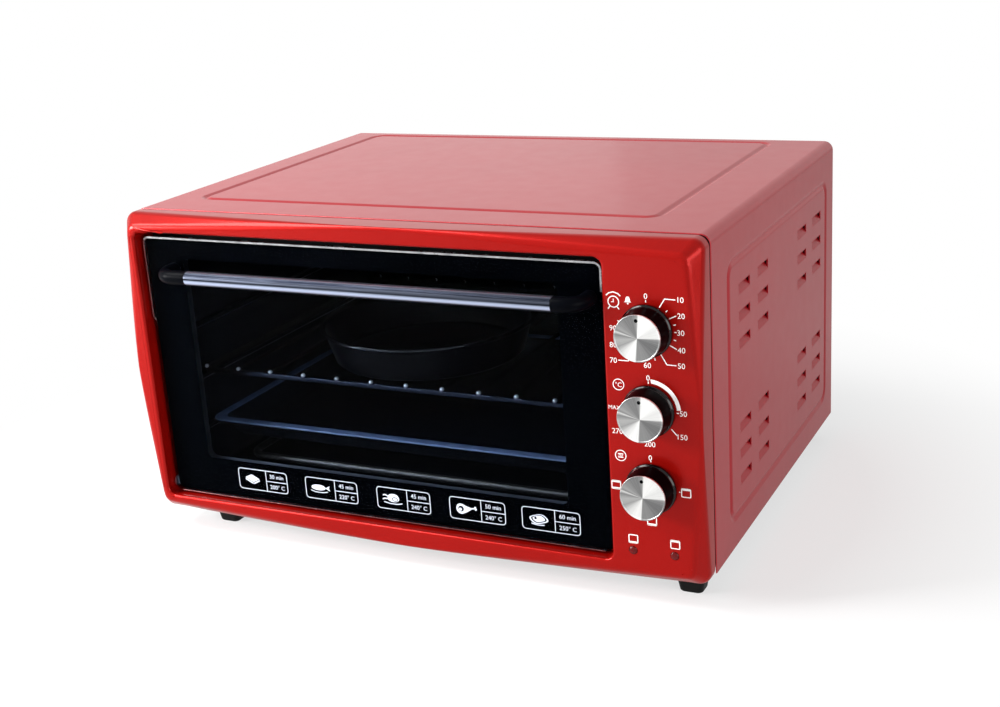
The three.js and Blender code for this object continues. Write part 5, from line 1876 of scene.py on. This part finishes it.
@dataclass
class Door:
    """The glass door: printed pane, frame, inner pane, a painted reflection along the pane's edge, and
    handle.
    """

    left: float = -232.9
    right: float = 174.6
    low: float = 14.2
    high: float = 240.6
    front: float = -18.0
    back: float = -14.0
    corner: float = 6.0
    window: Area = (-197.0, 138.0, 47.0, 222.0)
    ink: float = 0.04
    handle_y: float = HANDLE_AXIS[0]
    handle_z: float = HANDLE_AXIS[1]
    handle_radius: float = 5.9

    def build(self) -> None:
        """Make the door's pieces."""
        fit(self.pane(), Body.DOOR, Slot.OUTER_GLASS, "door_glass")
        fit(self.border(), Body.DOOR, Slot.OUTER_GLASS)
        fit(self.edge_reflection_strip(), Body.DOOR, Slot.OUTER_GLASS)
        fit(self.food_table(), Body.DOOR, Slot.OUTER_GLASS)
        fit(self.frame(), Body.DOOR, Slot.STEEL, "door_frame")
        fit(self.tube(), Body.DOOR, Slot.BRIGHT_STEEL, "handle_tube")
        for word, side, root in zip(("left", "right"), (-1, 1), HANDLE_ROOTS):
            fit(self.handle_end(word, side, root), Body.DOOR, Slot.BLACK_PLASTIC, f"{word}_handle_end")

    def outline(self, inset: float, y: float) -> list[Point]:
        """The pane's outline moved inwards, at one y."""
        area = (self.left, self.right, self.low, self.high)
        return upright(inward(area, inset, self.corner - inset, 12), y)

    def pane(self) -> Object:
        """The outer pane with ground edges and two drilled holes."""
        shape = Shape()
        ground = ((0.5, 0.0), (0.12, 0.14), (0.0, 0.5))
        rings = [self.outline(inset, self.front + deep) for inset, deep in ground]
        rings += [self.outline(inset, self.back - deep) for inset, deep in reversed(ground)]
        shape.grid(rings, wrap=True)
        spots = [(x, self.handle_z) for x in HANDLE_ROOTS]
        near = [upright(circle(x, z, 2.3, 20), self.front) for x, z in spots]
        far = [upright(circle(x, z, 2.3, 20), self.back) for x, z in spots]
        shape.fill([rings[0], *near])
        shape.fill([rings[-1], *far], (0.0, 1.0, 0.0))
        for first, last in zip(near, far):
            shape.grid([first, last], wrap=True)
        return shape.make("door_glass_plate", [Finishes.OUTER_GLASS], sharp=30.0)

    def border(self) -> Object:
        """The black border printed behind the pane, round the clear window."""
        y = self.back + self.ink
        outer = [(u, y, v) for u, _, v in self.outline(0.6, y)]
        hole = upright(round_rect(*self.window, 5.0, 10), y)
        holes = [upright(circle(x, self.handle_z, 2.4, 20), y) for x in HANDLE_ROOTS]
        shape = Shape()
        shape.fill([outer, hole, *holes])
        return shape.make("door_glass_border", [Finishes.BORDER_INK], facing=True)

    def edge_reflection_strip(self) -> Object:
        """A painted reflection on the pane's edge: a bright metal strip upper left, along the top, down at
        the right, and below.
        """
        line = [(self.left + 2.6, 168.5), (self.left, 171.5), (self.left, self.high - self.corner)]
        line += arc(self.left + self.corner, self.high - self.corner, self.corner, 180.0, 90.0, 12)
        line += arc(self.right - self.corner, self.high - self.corner, self.corner, 90.0, 0.0, 12)
        line += [(self.right, self.high - 22.0)]
        below = [(u, self.low) for u in (self.right - self.corner, 0.0, self.left + self.corner)]
        shape = Shape()
        for run, width in ((line, 1.4), (below, 0.7)):
            rows = []
            spots = [np.array(spot, float) for spot in run]
            for i, spot in enumerate(spots):
                way = spots[min(i + 1, len(spots) - 1)] - spots[max(i - 1, 0)]
                side = np.array([way[1], -way[0]]) / max(float(np.linalg.norm(way)), 1e-9)
                inner, out = spot + side * width, spot - side * 0.03
                rows.append([
                    (inner[0], self.front - 0.05, inner[1]), (out[0], self.front - 0.02, out[1]),
                    (out[0], self.back, out[1]),
                ])
            shape.grid([[tuple(float(c) for c in point) for point in row] for row in rows])
        made = shape.make("door_glass_polish", [Finishes.GLASS_EDGE_REFLECTION], facing=True, sharp=50.0)
        aim(made, Vector((0.0, -1.0, 0.0)))
        return made

    def food_table(self) -> Object:
        """Five cells printed on the pane, each with a dish, its minutes and its degrees."""
        sheet = Print(self.front - self.ink)
        cells = [
            (-164.8, -115.8, "30", "200", self.slice_sign),
            (-97.8, -47.6, "45", "220", self.fish_sign),
            (-29.4, 19.8, "45", "240", self.bird_sign),
            (37.0, 86.0, "50", "240", self.leg_sign),
            (100.0, 149.0, "60", "250", self.steak_sign),
        ]
        low, high, thin = 24.0, 43.0, 0.55
        for left, right, minutes, degrees, sign in cells:
            sheet.frame((left, right, low, high), 3.2, thin)
            split = left + (right - left) * 0.57
            middle = (low + high) / 2
            sheet.line([(split, low + thin), (split, high - thin)], thin)
            sheet.line([(split, middle), (right - thin, middle)], thin)
            centre = (split + right) / 2
            sheet.text(f"{minutes} min", centre, (middle + high) / 2, 3.7)
            sheet.text(f"{degrees}° C", centre, (middle + low) / 2 + 0.1, 3.7)
            sign(sheet, (left + split) / 2, middle)
        return sheet.make("door_food_table", Finishes.GLASS_INK)

    def slice_sign(self, sheet: Print, u: float, v: float) -> None:
        """A square slice of layered bake."""
        sheet.area([(u - 7.0, v + 1.4), (u - 0.5, v + 4.4), (u + 7.0, v + 0.8), (u + 0.6, v - 2.4)])
        sheet.area([(u - 7.0, v + 0.6), (u + 0.4, v - 3.1), (u + 0.4, v - 4.3), (u - 7.0, v - 0.6)])
        sheet.area([(u + 1.0, v - 3.1), (u + 7.0, v + 0.1), (u + 7.0, v - 1.1), (u + 1.0, v - 4.3)])

    def fish_sign(self, sheet: Print, u: float, v: float) -> None:
        """A whole fish on a flat dish."""
        sheet.area(oval(u - 1.6, v + 0.9, 6.8, 2.5, 28), circle(u - 6.2, v + 1.3, 0.5, 10))
        sheet.area([(u + 5.2, v + 0.9), (u + 9.4, v + 3.4), (u + 8.4, v + 0.9), (u + 9.4, v - 1.5)])
        sheet.line([(u - 9.2, v - 2.0), (u - 5.0, v - 3.3), (u + 3.0, v - 3.3), (u + 7.0, v - 2.2)], 0.6)

    def bird_sign(self, sheet: Print, u: float, v: float) -> None:
        """A roast bird with its leg on a dish."""
        middle = v + 0.3
        body = oval(u + 1.2, middle, 5.4, 4.0, 28)
        body = [(x, z if z > middle else middle + (z - middle) * 0.8) for x, z in body]
        sheet.area(body, oval(u + 2.6, v - 0.4, 2.9, 1.9, 20))
        sheet.area(oval(u + 2.6, v - 0.4, 2.2, 1.2, 20))
        sheet.line([(u - 3.4, v + 1.6), (u - 6.4, v + 3.0), (u - 8.2, v + 2.2)], 1.0)
        sheet.line([(u - 3.6, v - 0.4), (u - 7.0, v - 0.4), (u - 8.6, v - 1.4)], 1.0)
        sheet.line([(u - 7.6, v - 3.4), (u - 2.0, v - 4.4), (u + 4.4, v - 4.4), (u + 9.2, v - 3.4)], 0.7)

    def leg_sign(self, sheet: Print, u: float, v: float) -> None:
        """A leg joint with its bone."""
        meat = arc(u - 3.6, v - 0.2, 4.4, 60.0, 300.0, 22) + [
            (u + 1.4, v - 2.6), (u + 5.6, v + 0.2), (u + 5.2, v + 1.4), (u + 0.6, v + 2.6)
        ]
        hole = circle(u - 3.8, v - 0.2, 2.5, 20)
        sheet.area(meat, hole)
        sheet.area(circle(u - 4.4, v - 0.8, 1.3, 16))
        sheet.line([(u + 5.0, v + 0.7), (u + 8.2, v + 1.2)], 1.0)
        sheet.area(circle(u + 8.8, v + 2.0, 0.95, 14))
        sheet.area(circle(u + 9.2, v + 0.6, 0.95, 14))

    def steak_sign(self, sheet: Print, u: float, v: float) -> None:
        """A cut of meat with its rim and bone."""

        def blob(scale: float, lift: float) -> list[Flat]:
            turns = np.linspace(0, 2 * math.pi, 32)[:-1]
            wide = [scale * (7.2 + 0.9 * math.cos(2 * t + 0.6)) * math.cos(t) for t in turns]
            tall = [scale * (4.0 + 0.7 * math.sin(2 * t)) * math.sin(t) for t in turns]
            return [(u + 0.4 + x, v + lift + z) for x, z in zip(wide, tall)]

        sheet.area(blob(1.0, 0.0), blob(0.84, 0.1))
        sheet.area(blob(0.66, 0.2), circle(u - 2.4, v + 0.6, 1.1, 14))
        sheet.area(
            [
                (u - 6.0, v - 3.6), (u - 1.0, v - 4.7), (u + 5.0, v - 4.2), (u + 5.0, v - 4.9),
                (u - 1.0, v - 5.4), (u - 6.2, v - 4.4),
            ]
        )

    def frame(self) -> Object:
        """The folded steel frame behind the pane, with a round-cornered window."""
        shape = Shape()
        left, right, low, high = -228.9, 170.6, 17.9, 236.6
        front, back = -13.7, -3.5
        rings = []
        for y, inset, radius in (
            (front, 0.0, 2.0), (back - 1.4, 0.0, 2.0), (back - 0.4, 0.4, 2.0), (back, 1.4, 2.0)
        ):
            rings.append(upright(inward((left, right, low, high), inset, radius, 6), y))
        shape.grid(rings, wrap=True)
        window = (left + 29.0, right - 30.0, low + 27.0, high - 14.0)
        lip = []
        for inset, y in ((1.6, back), (0.6, back), (0.1, back - 0.4), (0.0, back - 1.0)):
            lip.append(upright(inward(window, -inset, self.corner + inset, 10), y))
        shape.fill([rings[-1], lip[0]], (0.0, 1.0, 0.0))
        shape.grid(lip, wrap=True)
        return shape.make("door_frame_pressing", [Finishes.STEEL], sheet=1.1, sharp=40.0)

    def tube(self) -> Object:
        """The handle's steel tube with turned-in ends."""
        shape = Shape()
        radius, start, end = self.handle_radius, -173.9, 145.6
        profile = [
            (radius - 1.2, start), (radius - 0.4, start), (radius - 0.1, start + 0.1),
            (radius, start + 0.4), (radius, start + 80.0), (radius, start + 160.0), (radius, end - 80.0),
            (radius, end - 0.4), (radius - 0.1, end - 0.1), (radius - 0.4, end), (radius - 1.2, end),
            (radius - 1.2, start),
        ]
        shape.turned(profile, "x", (0.0, self.handle_y, self.handle_z), 48)
        return shape.make("handle_tube_bright", [Finishes.HANDLE], sharp=40.0)

    def handle_end(self, word: str, side: int, root: float) -> Object:
        """A moulded elbow from the tube to the pane, with a collar and a plug.

        Args:
            word: left or right.
            side: -1 on the left, 1 on the right.
            root: x of its foot.

        Returns:
            The elbow.
        """
        start = -174.2 if side < 0 else 145.9
        foot, bend = self.front - 0.3, 13.0
        centre = (root - side * bend, self.handle_y + bend)
        path: list[Point] = []
        for share in (0.0, 0.15, 0.6, 1.0):
            path.append((start + (root - side * bend - start) * share, self.handle_y, 0.0))
        for turn in np.linspace(0.0, 90.0, 15)[1:]:
            t = math.radians(turn)
            path.append((centre[0] + side * bend * math.sin(t), centre[1] - bend * math.cos(t), turn))
        path += [(root, foot - 1.0, 90.0), (root, foot - 0.2, 90.0), (root, foot, 90.0)]
        bent = [5.9 - 0.25 * math.sin(math.radians(p[2]) * 2) for p in path[4:-3]]
        radii = [5.75, 5.9, 5.9, 5.9, *bent, 5.9, 5.85, 5.5]
        rings = []
        for (x, y, turn), radius in zip(path, radii):
            t = math.radians(turn)
            across = (-side * math.sin(t), math.cos(t))
            ring = []
            for a in np.linspace(0.0, 2 * math.pi, 41)[:-1]:
                flat, rise = radius * math.cos(a), radius * math.sin(a)
                ring.append((x + across[0] * flat, y + across[1] * flat, self.handle_z + rise))
            rings.append([tuple(float(c) for c in point) for point in ring])
        shape = Shape()
        shape.grid(rings, wrap=True)
        shape.cap(rings[0])
        shape.cap(rings[-1])
        plug = Shape()
        plug_end = start - side * 12.0
        profile = [(0.0, start), (4.4, start), (4.4, plug_end + side), (3.6, plug_end), (0.0, plug_end)]
        plug.turned(profile, "x", (0.0, self.handle_y, self.handle_z), 24)
        parts = [
            shape.make("elbow", [Finishes.HANDLE_END], sharp=45.0),
            plug.make("plug", [Finishes.HANDLE_END], sharp=45.0),
        ]
        return merged(parts, f"{word}_handle_elbow", 45.0)


# Cavity


@dataclass
class Cavity:
    """Heaters, rack, pan and tray inside the enamelled liner."""

    workshop: Workshop
    left: float = -219.0
    right: float = 156.0
    heater_radius: float = 3.25
    rail_z: float = 114.0
    wire_z: float = 117.6

    def build(self) -> None:
        """Make the pieces of the cavity."""
        fit(self.heater("upper", 222.0), Body.CASING, Slot.HEATER_STEEL, "upper_heater")
        fit(self.heater("lower", 31.7), Body.CASING, Slot.HEATER_STEEL, "lower_heater")
        fit(self.rack(), Body.RACK, Slot.BRIGHT_STEEL, "wire_rack")
        fit(self.pan(), Body.RACK, Slot.ENAMEL, "round_pan")
        fit(self.tray(), Body.TRAY, Slot.ENAMEL, "baking_tray")

    def heater(self, level: str, z: float) -> Object:
        """A hairpin of sheathed heater rod with its two terminals.

        Args:
            level: upper or lower.
            z: height of its axis.

        Returns:
            The heater.
        """
        near, far, tip = 35.0, 285.0, 164.8
        left = self.left + 29.0
        route = [(tip, near, z), (left, near, z), (left, far, z), (tip, far, z)]
        rod = self.workshop.wire("rod", [route], Finishes.HEATER, self.heater_radius, 16.0, sides=28)
        pins = self.workshop.wire(
            "pins", [[(tip - 1.0, y, z), (tip, y, z)] for y in (near, far)], Finishes.STEEL, 1.6, sides=16
        )
        return merged([rod, pins], f"{level}_heater_rod", 50.0)

    def rack(self) -> Object:
        """The rack: a bent rail with cross wires welded on top, their ends rounded. Its wire metal is
        darkened as painted shade, and its rounded ends are near white as painted glints.
        """
        left, right, near, far = -214.0, 151.0, 20.0, 318.0
        rail = [
            (left, near, self.rail_z), (right, near, self.rail_z), (right, far, self.rail_z),
            (left, far, self.rail_z),
        ]
        frame = self.workshop.wire("rail", [rail], Finishes.DARKENED_CHROME, 2.5, 2.4, closed=True, sides=20)
        shape = Shape()
        radius, y0, y1 = 1.6, near - 2.5, far + 2.5
        dome = [(0.0, y0), (0.9, y0 + 0.12), (1.4, y0 + 0.5), (radius, y0 + 1.1), (radius, y0 + 2.4)]
        first, last = left + 1.7, right - 1.7
        step = ((last - first) / 11, 0.0, 0.0)
        shape.turned(
            [(radius, y0 + 2.4), (radius, (y0 + y1) / 2), (radius, y1 - 2.4)], "y", (first, 0.0, self.wire_z),
            16,
        )
        wires = self.workshop.repeat(
            shape.make("wire", [Finishes.DARKENED_CHROME], sharp=50.0), Finishes.DARKENED_CHROME, 12, step
        )
        parts = [frame, wires]
        # the rounded ends take near-white metal: painted glints
        for way, place in ((1, 0.0), (-1, y0 + y1)):
            tip = Shape()
            tip.turned([(r, place + way * y) for r, y in dome], "y", (first, 0.0, self.wire_z), 16)
            made = tip.make("tip", [Finishes.WIRE_TIP_GLINT], facing=way < 0, sharp=50.0)
            aim(made, Vector((0.0, -1.0 * way, 0.0)))
            parts.append(self.workshop.repeat(made, Finishes.WIRE_TIP_GLINT, 12, step))
        return merged(parts, "rack_of_wire", 50.0)

    def pan(self) -> Object:
        """The round black pan with a rolled rim."""
        shape = Shape()
        base, rim = 119.5, 150.5
        outside = [
            (0.0, base + 0.6), (30.0, base + 0.45), (60.0, base + 0.2), (76.0, base), (79.5, base + 0.4),
            (81.6, base + 2.2), (88.6, rim - 5.2), (89.4, rim - 3.4), (90.6, rim - 2.6),
        ]
        roll = [
            (92.2, rim - 2.3), (93.0, rim - 1.5), (93.0, rim - 0.8), (92.3, rim - 0.1), (91.0, rim),
            (89.4, rim - 0.4), (88.2, rim - 2.0),
        ]
        inside = [
            (87.3, rim - 5.4), (80.6, base + 3.0), (79.0, base + 1.7), (76.0, base + 1.3),
            (60.0, base + 1.5), (30.0, base + 1.7), (0.0, base + 1.8),
        ]
        for mark, profile in ((0, outside), (1, [outside[-1], *roll]), (0, [roll[-1], *inside])):
            shape.mark = mark
            shape.turned(profile, "z", (-35.5, 101.0, 0.0), 128)
        return shape.make("round_pan_pressing", [Finishes.PAN, Finishes.PAN_RIM], sharp=60.0)

    def tray(self) -> Object:
        """The pressed baking tray with a rolled lip and a stiffened floor."""
        left, right, near, far = self.left + 1.5, self.right - 1.5, 18.0, 316.0
        low, top = 65.5, 69.1
        floor = top - 18.0

        def ring(inset: float, radius: float, z: float) -> list[Point]:
            return [(u, v, z) for u, v in inward((left, right, near, far), inset, radius, 12)]

        skin = [
            (1.2, 12.8, low), (0.3, 13.7, low + 0.5), (0.0, 14.0, low + 1.5), (0.0, 14.0, top - 1.2),
            (0.4, 13.6, top - 0.4), (1.4, 12.8, top), (8.0, 10.0, top - 0.1), (9.2, 10.0, top - 0.7),
            (10.2, 10.5, top - 2.4), (14.0, 12.5, floor + 3.2), (15.2, 12.5, floor + 1.4),
            (17.0, 11.5, floor + 1.0), (26.0, 9.0, floor + 1.0), (27.5, 9.0, floor + 1.6),
            (30.0, 8.0, floor + 1.6), (31.5, 8.0, floor + 1.0),
        ]
        bottom = [
            (31.5, 8.0, floor), (18.0, 11.5, floor), (15.0, 12.5, floor + 0.4), (13.2, 12.5, floor + 2.6),
            (9.6, 10.5, top - 3.0), (8.4, 10.0, top - 1.6), (2.6, 12.0, top - 1.4), (1.6, 12.4, low + 0.6),
        ]
        rings = [ring(*level) for level in skin]
        under = [ring(*level) for level in bottom]
        shape = Shape()
        # The lip takes a lighter blue-grey enamel: a painted reflection.
        shape.mark = 1
        shape.grid(rings[3:8], wrap=True)
        shape.mark = 0
        shape.grid(rings[:4], wrap=True)
        shape.grid(rings[7:], wrap=True)
        shape.fill([rings[-1]], (0.0, 0.0, 1.0))
        shape.grid([*under, rings[0]], wrap=True)
        shape.fill([under[0]], (0.0, 0.0, -1.0))
        return shape.make("baking_tray_pressing", [Finishes.TRAY, Finishes.TRAY_LIP_REFLECTION], sharp=60.0)


# Studio


@dataclass
class Studio:
    """Camera, floor, soft lamps and a white surround."""

    eye: Point = (0.55969, -1.11502, 0.52411)
    azimuth: float = 0.4652
    elevation: float = 0.3121
    roll: float = -0.0653
    lens: float = 52.93
    sensor: float = 36.0
    level: float = 0.25
    shadow_white: Flat = (0.62, 1.0)
    shadow_reach: Flat = (0.32, 0.58)
    gloss_white: float = 0.42
    gloss_tone: float = 0.7
    floor_reach: float = 9.0

    def build(self) -> None:
        """Make the camera, the floor, the surround and the lamps."""
        self.camera()
        self.floor()
        self.surround()
        self.lamps()

    def camera(self) -> None:
        """The camera at the photograph's viewing angle."""
        az, el, roll = self.azimuth, self.elevation, self.roll
        ahead = Vector((-math.sin(az) * math.cos(el), math.cos(az) * math.cos(el), -math.sin(el)))
        level = ahead.cross(Vector((0.0, 0.0, 1.0))).normalized()
        above = level.cross(ahead)
        right = level * math.cos(roll) + above * math.sin(roll)
        up = above * math.cos(roll) - level * math.sin(roll)
        data = bpy.data.cameras.new("studio_camera")
        data.lens, data.sensor_width, data.sensor_fit = self.lens, self.sensor, "HORIZONTAL"
        data.clip_start, data.clip_end = 0.01, 100.0
        holder = placed("studio_camera", data)
        turn = Matrix((right, up, -ahead)).transposed().to_4x4()
        holder.matrix_world = Matrix.Translation(Vector(self.eye)) @ turn
        bpy.context.scene.camera = holder

    def floor(self) -> None:
        """A wide pale floor that keeps the shadow near the oven and is white further out."""
        shader = Shader(bpy.data.materials.new("studio_floor"))
        distance = shader.node("ShaderNodeVectorMath", {0: shader.place}, operation="LENGTH").outputs["Value"]
        far = shader.ranged(distance, *self.shadow_white, *self.shadow_reach)
        path = shader.node("ShaderNodeLightPath")
        seen = shader.maths("MULTIPLY", path.outputs["Is Camera Ray"], far)
        gloss = shader.maths("MULTIPLY", path.outputs["Is Glossy Ray"], self.gloss_white)
        share = shader.maths(
            "MAXIMUM", shader.maths("MAXIMUM", seen, gloss), path.outputs["Is Transmission Ray"]
        )
        grain = shader.ranged(shader.noise(500.0, 2.0), 0.96, 1.0)
        dull = shader.ranged(path.outputs["Is Glossy Ray"], 1.0, self.gloss_tone)
        fine = shader.maths("MULTIPLY", grain, dull)
        tone = shader.node("ShaderNodeCombineColor", {"Red": fine, "Green": fine, "Blue": fine}).outputs[0]
        matt = shader.node("ShaderNodeBsdfDiffuse", {"Color": tone}).outputs[0]
        glow = shader.node("ShaderNodeEmission", {"Color": (1.0, 1.0, 1.0), "Strength": 1.0}).outputs[0]
        both = shader.node("ShaderNodeMixShader", {0: share, 1: matt, 2: glow}).outputs[0]
        shader.end(both)
        mesh = bpy.data.meshes.new("studio_floor")
        ring = [(u, v, 0.0) for u, v in circle(0.0, 0.0, self.floor_reach, 64)]
        mesh.from_pydata(ring, [], [tuple(range(len(ring)))])
        mesh.materials.append(shader.owner)
        holder = placed("studio_floor", mesh)

    def surround(self) -> None:
        """White where the eye, gloss or glass sees it, plain soft light elsewhere."""
        world = bpy.data.worlds.new("studio_surround")
        bpy.context.scene.world = world
        shader = Shader(world)
        eye = shader.node("ShaderNodeLightPath").outputs["Is Camera Ray"]
        seen = shader.maths("MAXIMUM", eye, self.mirrored(shader))
        white = (1.0, 1.0, 1.0)
        plain = shader.node("ShaderNodeBackground", {"Color": white, "Strength": self.level}).outputs[0]
        shown = shader.node("ShaderNodeBackground", {"Color": white, "Strength": 1.0}).outputs[0]
        both = shader.node("ShaderNodeMixShader", {0: seen, 1: plain, 2: shown}).outputs[0]
        shader.node("ShaderNodeOutputWorld", {"Surface": both})

    def mirrored(self, shader: Shader) -> NodeSocket:
        """1 for a ray that gloss or glass sends out, else 0."""
        path = shader.node("ShaderNodeLightPath")
        return shader.maths("MAXIMUM", path.outputs["Is Glossy Ray"], path.outputs["Is Transmission Ray"])

    def lamp(self, name: str, place: Point, aim_at: Point, size: Flat, power: float) -> None:
        """One large soft lamp.

        Args:
            name: the lamp's name.
            place: where it stands, in metres.
            aim_at: what it looks at, in metres.
            size: its width and height in metres.
            power: its power in watts.
        """
        data = bpy.data.lights.new(name, "AREA")
        data.shape, data.size, data.size_y, data.energy = "RECTANGLE", size[0], size[1], power
        holder = placed(name, data)
        way = Vector(aim_at) - Vector(place)
        turn = way.to_track_quat("-Z", "Y").to_matrix().to_4x4()
        holder.matrix_world = Matrix.Translation(Vector(place)) @ turn
        holder.visible_camera = False

    def lamps(self) -> None:
        """A key lamp high on the left, a low one in front of it, a fill on the right, two behind."""
        self.lamp("left_key", (-1.08, -0.7, 1.55), (0.0, -0.05, 0.15), (0.7, 0.8), 34.0)
        self.lamp("left_low", (-1.35, -0.98, 0.6), (0.0, -0.2, 0.15), (0.5, 0.5), 40.0)
        self.lamp("right_fill", (1.5, -0.8, 0.45), (0.1, 0.0, 0.12), (1.0, 0.8), 12.0)
        self.lamp("left_back", (-1.2, 1.65, 0.68), (0.0, 0.1, 0.2), (1.3, 0.7), 1.2)
        self.lamp("top_back", (0.0, 1.2, 1.7), (0.0, 0.1, 0.2), (1.8, 0.9), 3.0)


# The whole


def dress_solids(nodes: dict[str, Object]) -> None:
    """Give each solid that stays in view its finish."""
    # The front frame is made near black, so that the gap round the door reads dark.
    dress(nodes, Finishes.DARK_FRAME, "front_frame")
    dress(nodes, Finishes.GALVANISED, "base_pan", "timer_body", "thermostat_body")
    dress(nodes, Finishes.GALVANISED, "left_hinge_bracket", "right_hinge_bracket")
    dress(nodes, Finishes.STEEL, "left_hinge_pin", "right_hinge_pin", "left_stay_arm", "right_stay_arm")
    dress(nodes, Finishes.STEEL, "left_handle_screw", "right_handle_screw")
    dress(nodes, Finishes.STEEL, "timer_shaft", "thermostat_shaft", "selector_shaft")
    dress(
        nodes, Finishes.STEEL,
        *(f"{end}_{side}_foot_screw" for end in ("front", "rear") for side in ("left", "right")),
    )
    dress(nodes, Finishes.LINER, "oven_liner")
    dress(nodes, Finishes.INNER_GLASS, "door_inner_glass")
    dress(
        nodes, Finishes.CERAMIC,
        *(f"{level}_{end}_bushing" for level in ("upper", "lower") for end in ("front", "rear")),
    )
    dress(nodes, Finishes.CERAMIC, "selector_body")
    dress(nodes, Finishes.BRASS, "timer_bell")
    dress(nodes, Finishes.BULB, "thermostat_bulb")


def main() -> None:
    """Load the solids, build the studio and each sub-assembly, then dress the solids that stay in view."""
    logging.basicConfig(level=logging.INFO, format="%(message)s")
    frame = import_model()
    bpy.context.scene.view_settings.view_transform = "Standard"
    Studio().build()
    workshop = Workshop()
    Casing(workshop).build()
    Bezel().build()
    Controls(workshop).build()
    Door().build()
    Cavity(workshop).build()
    dress_solids(frame["nodes"])


if __name__ == "__main__":
    main()
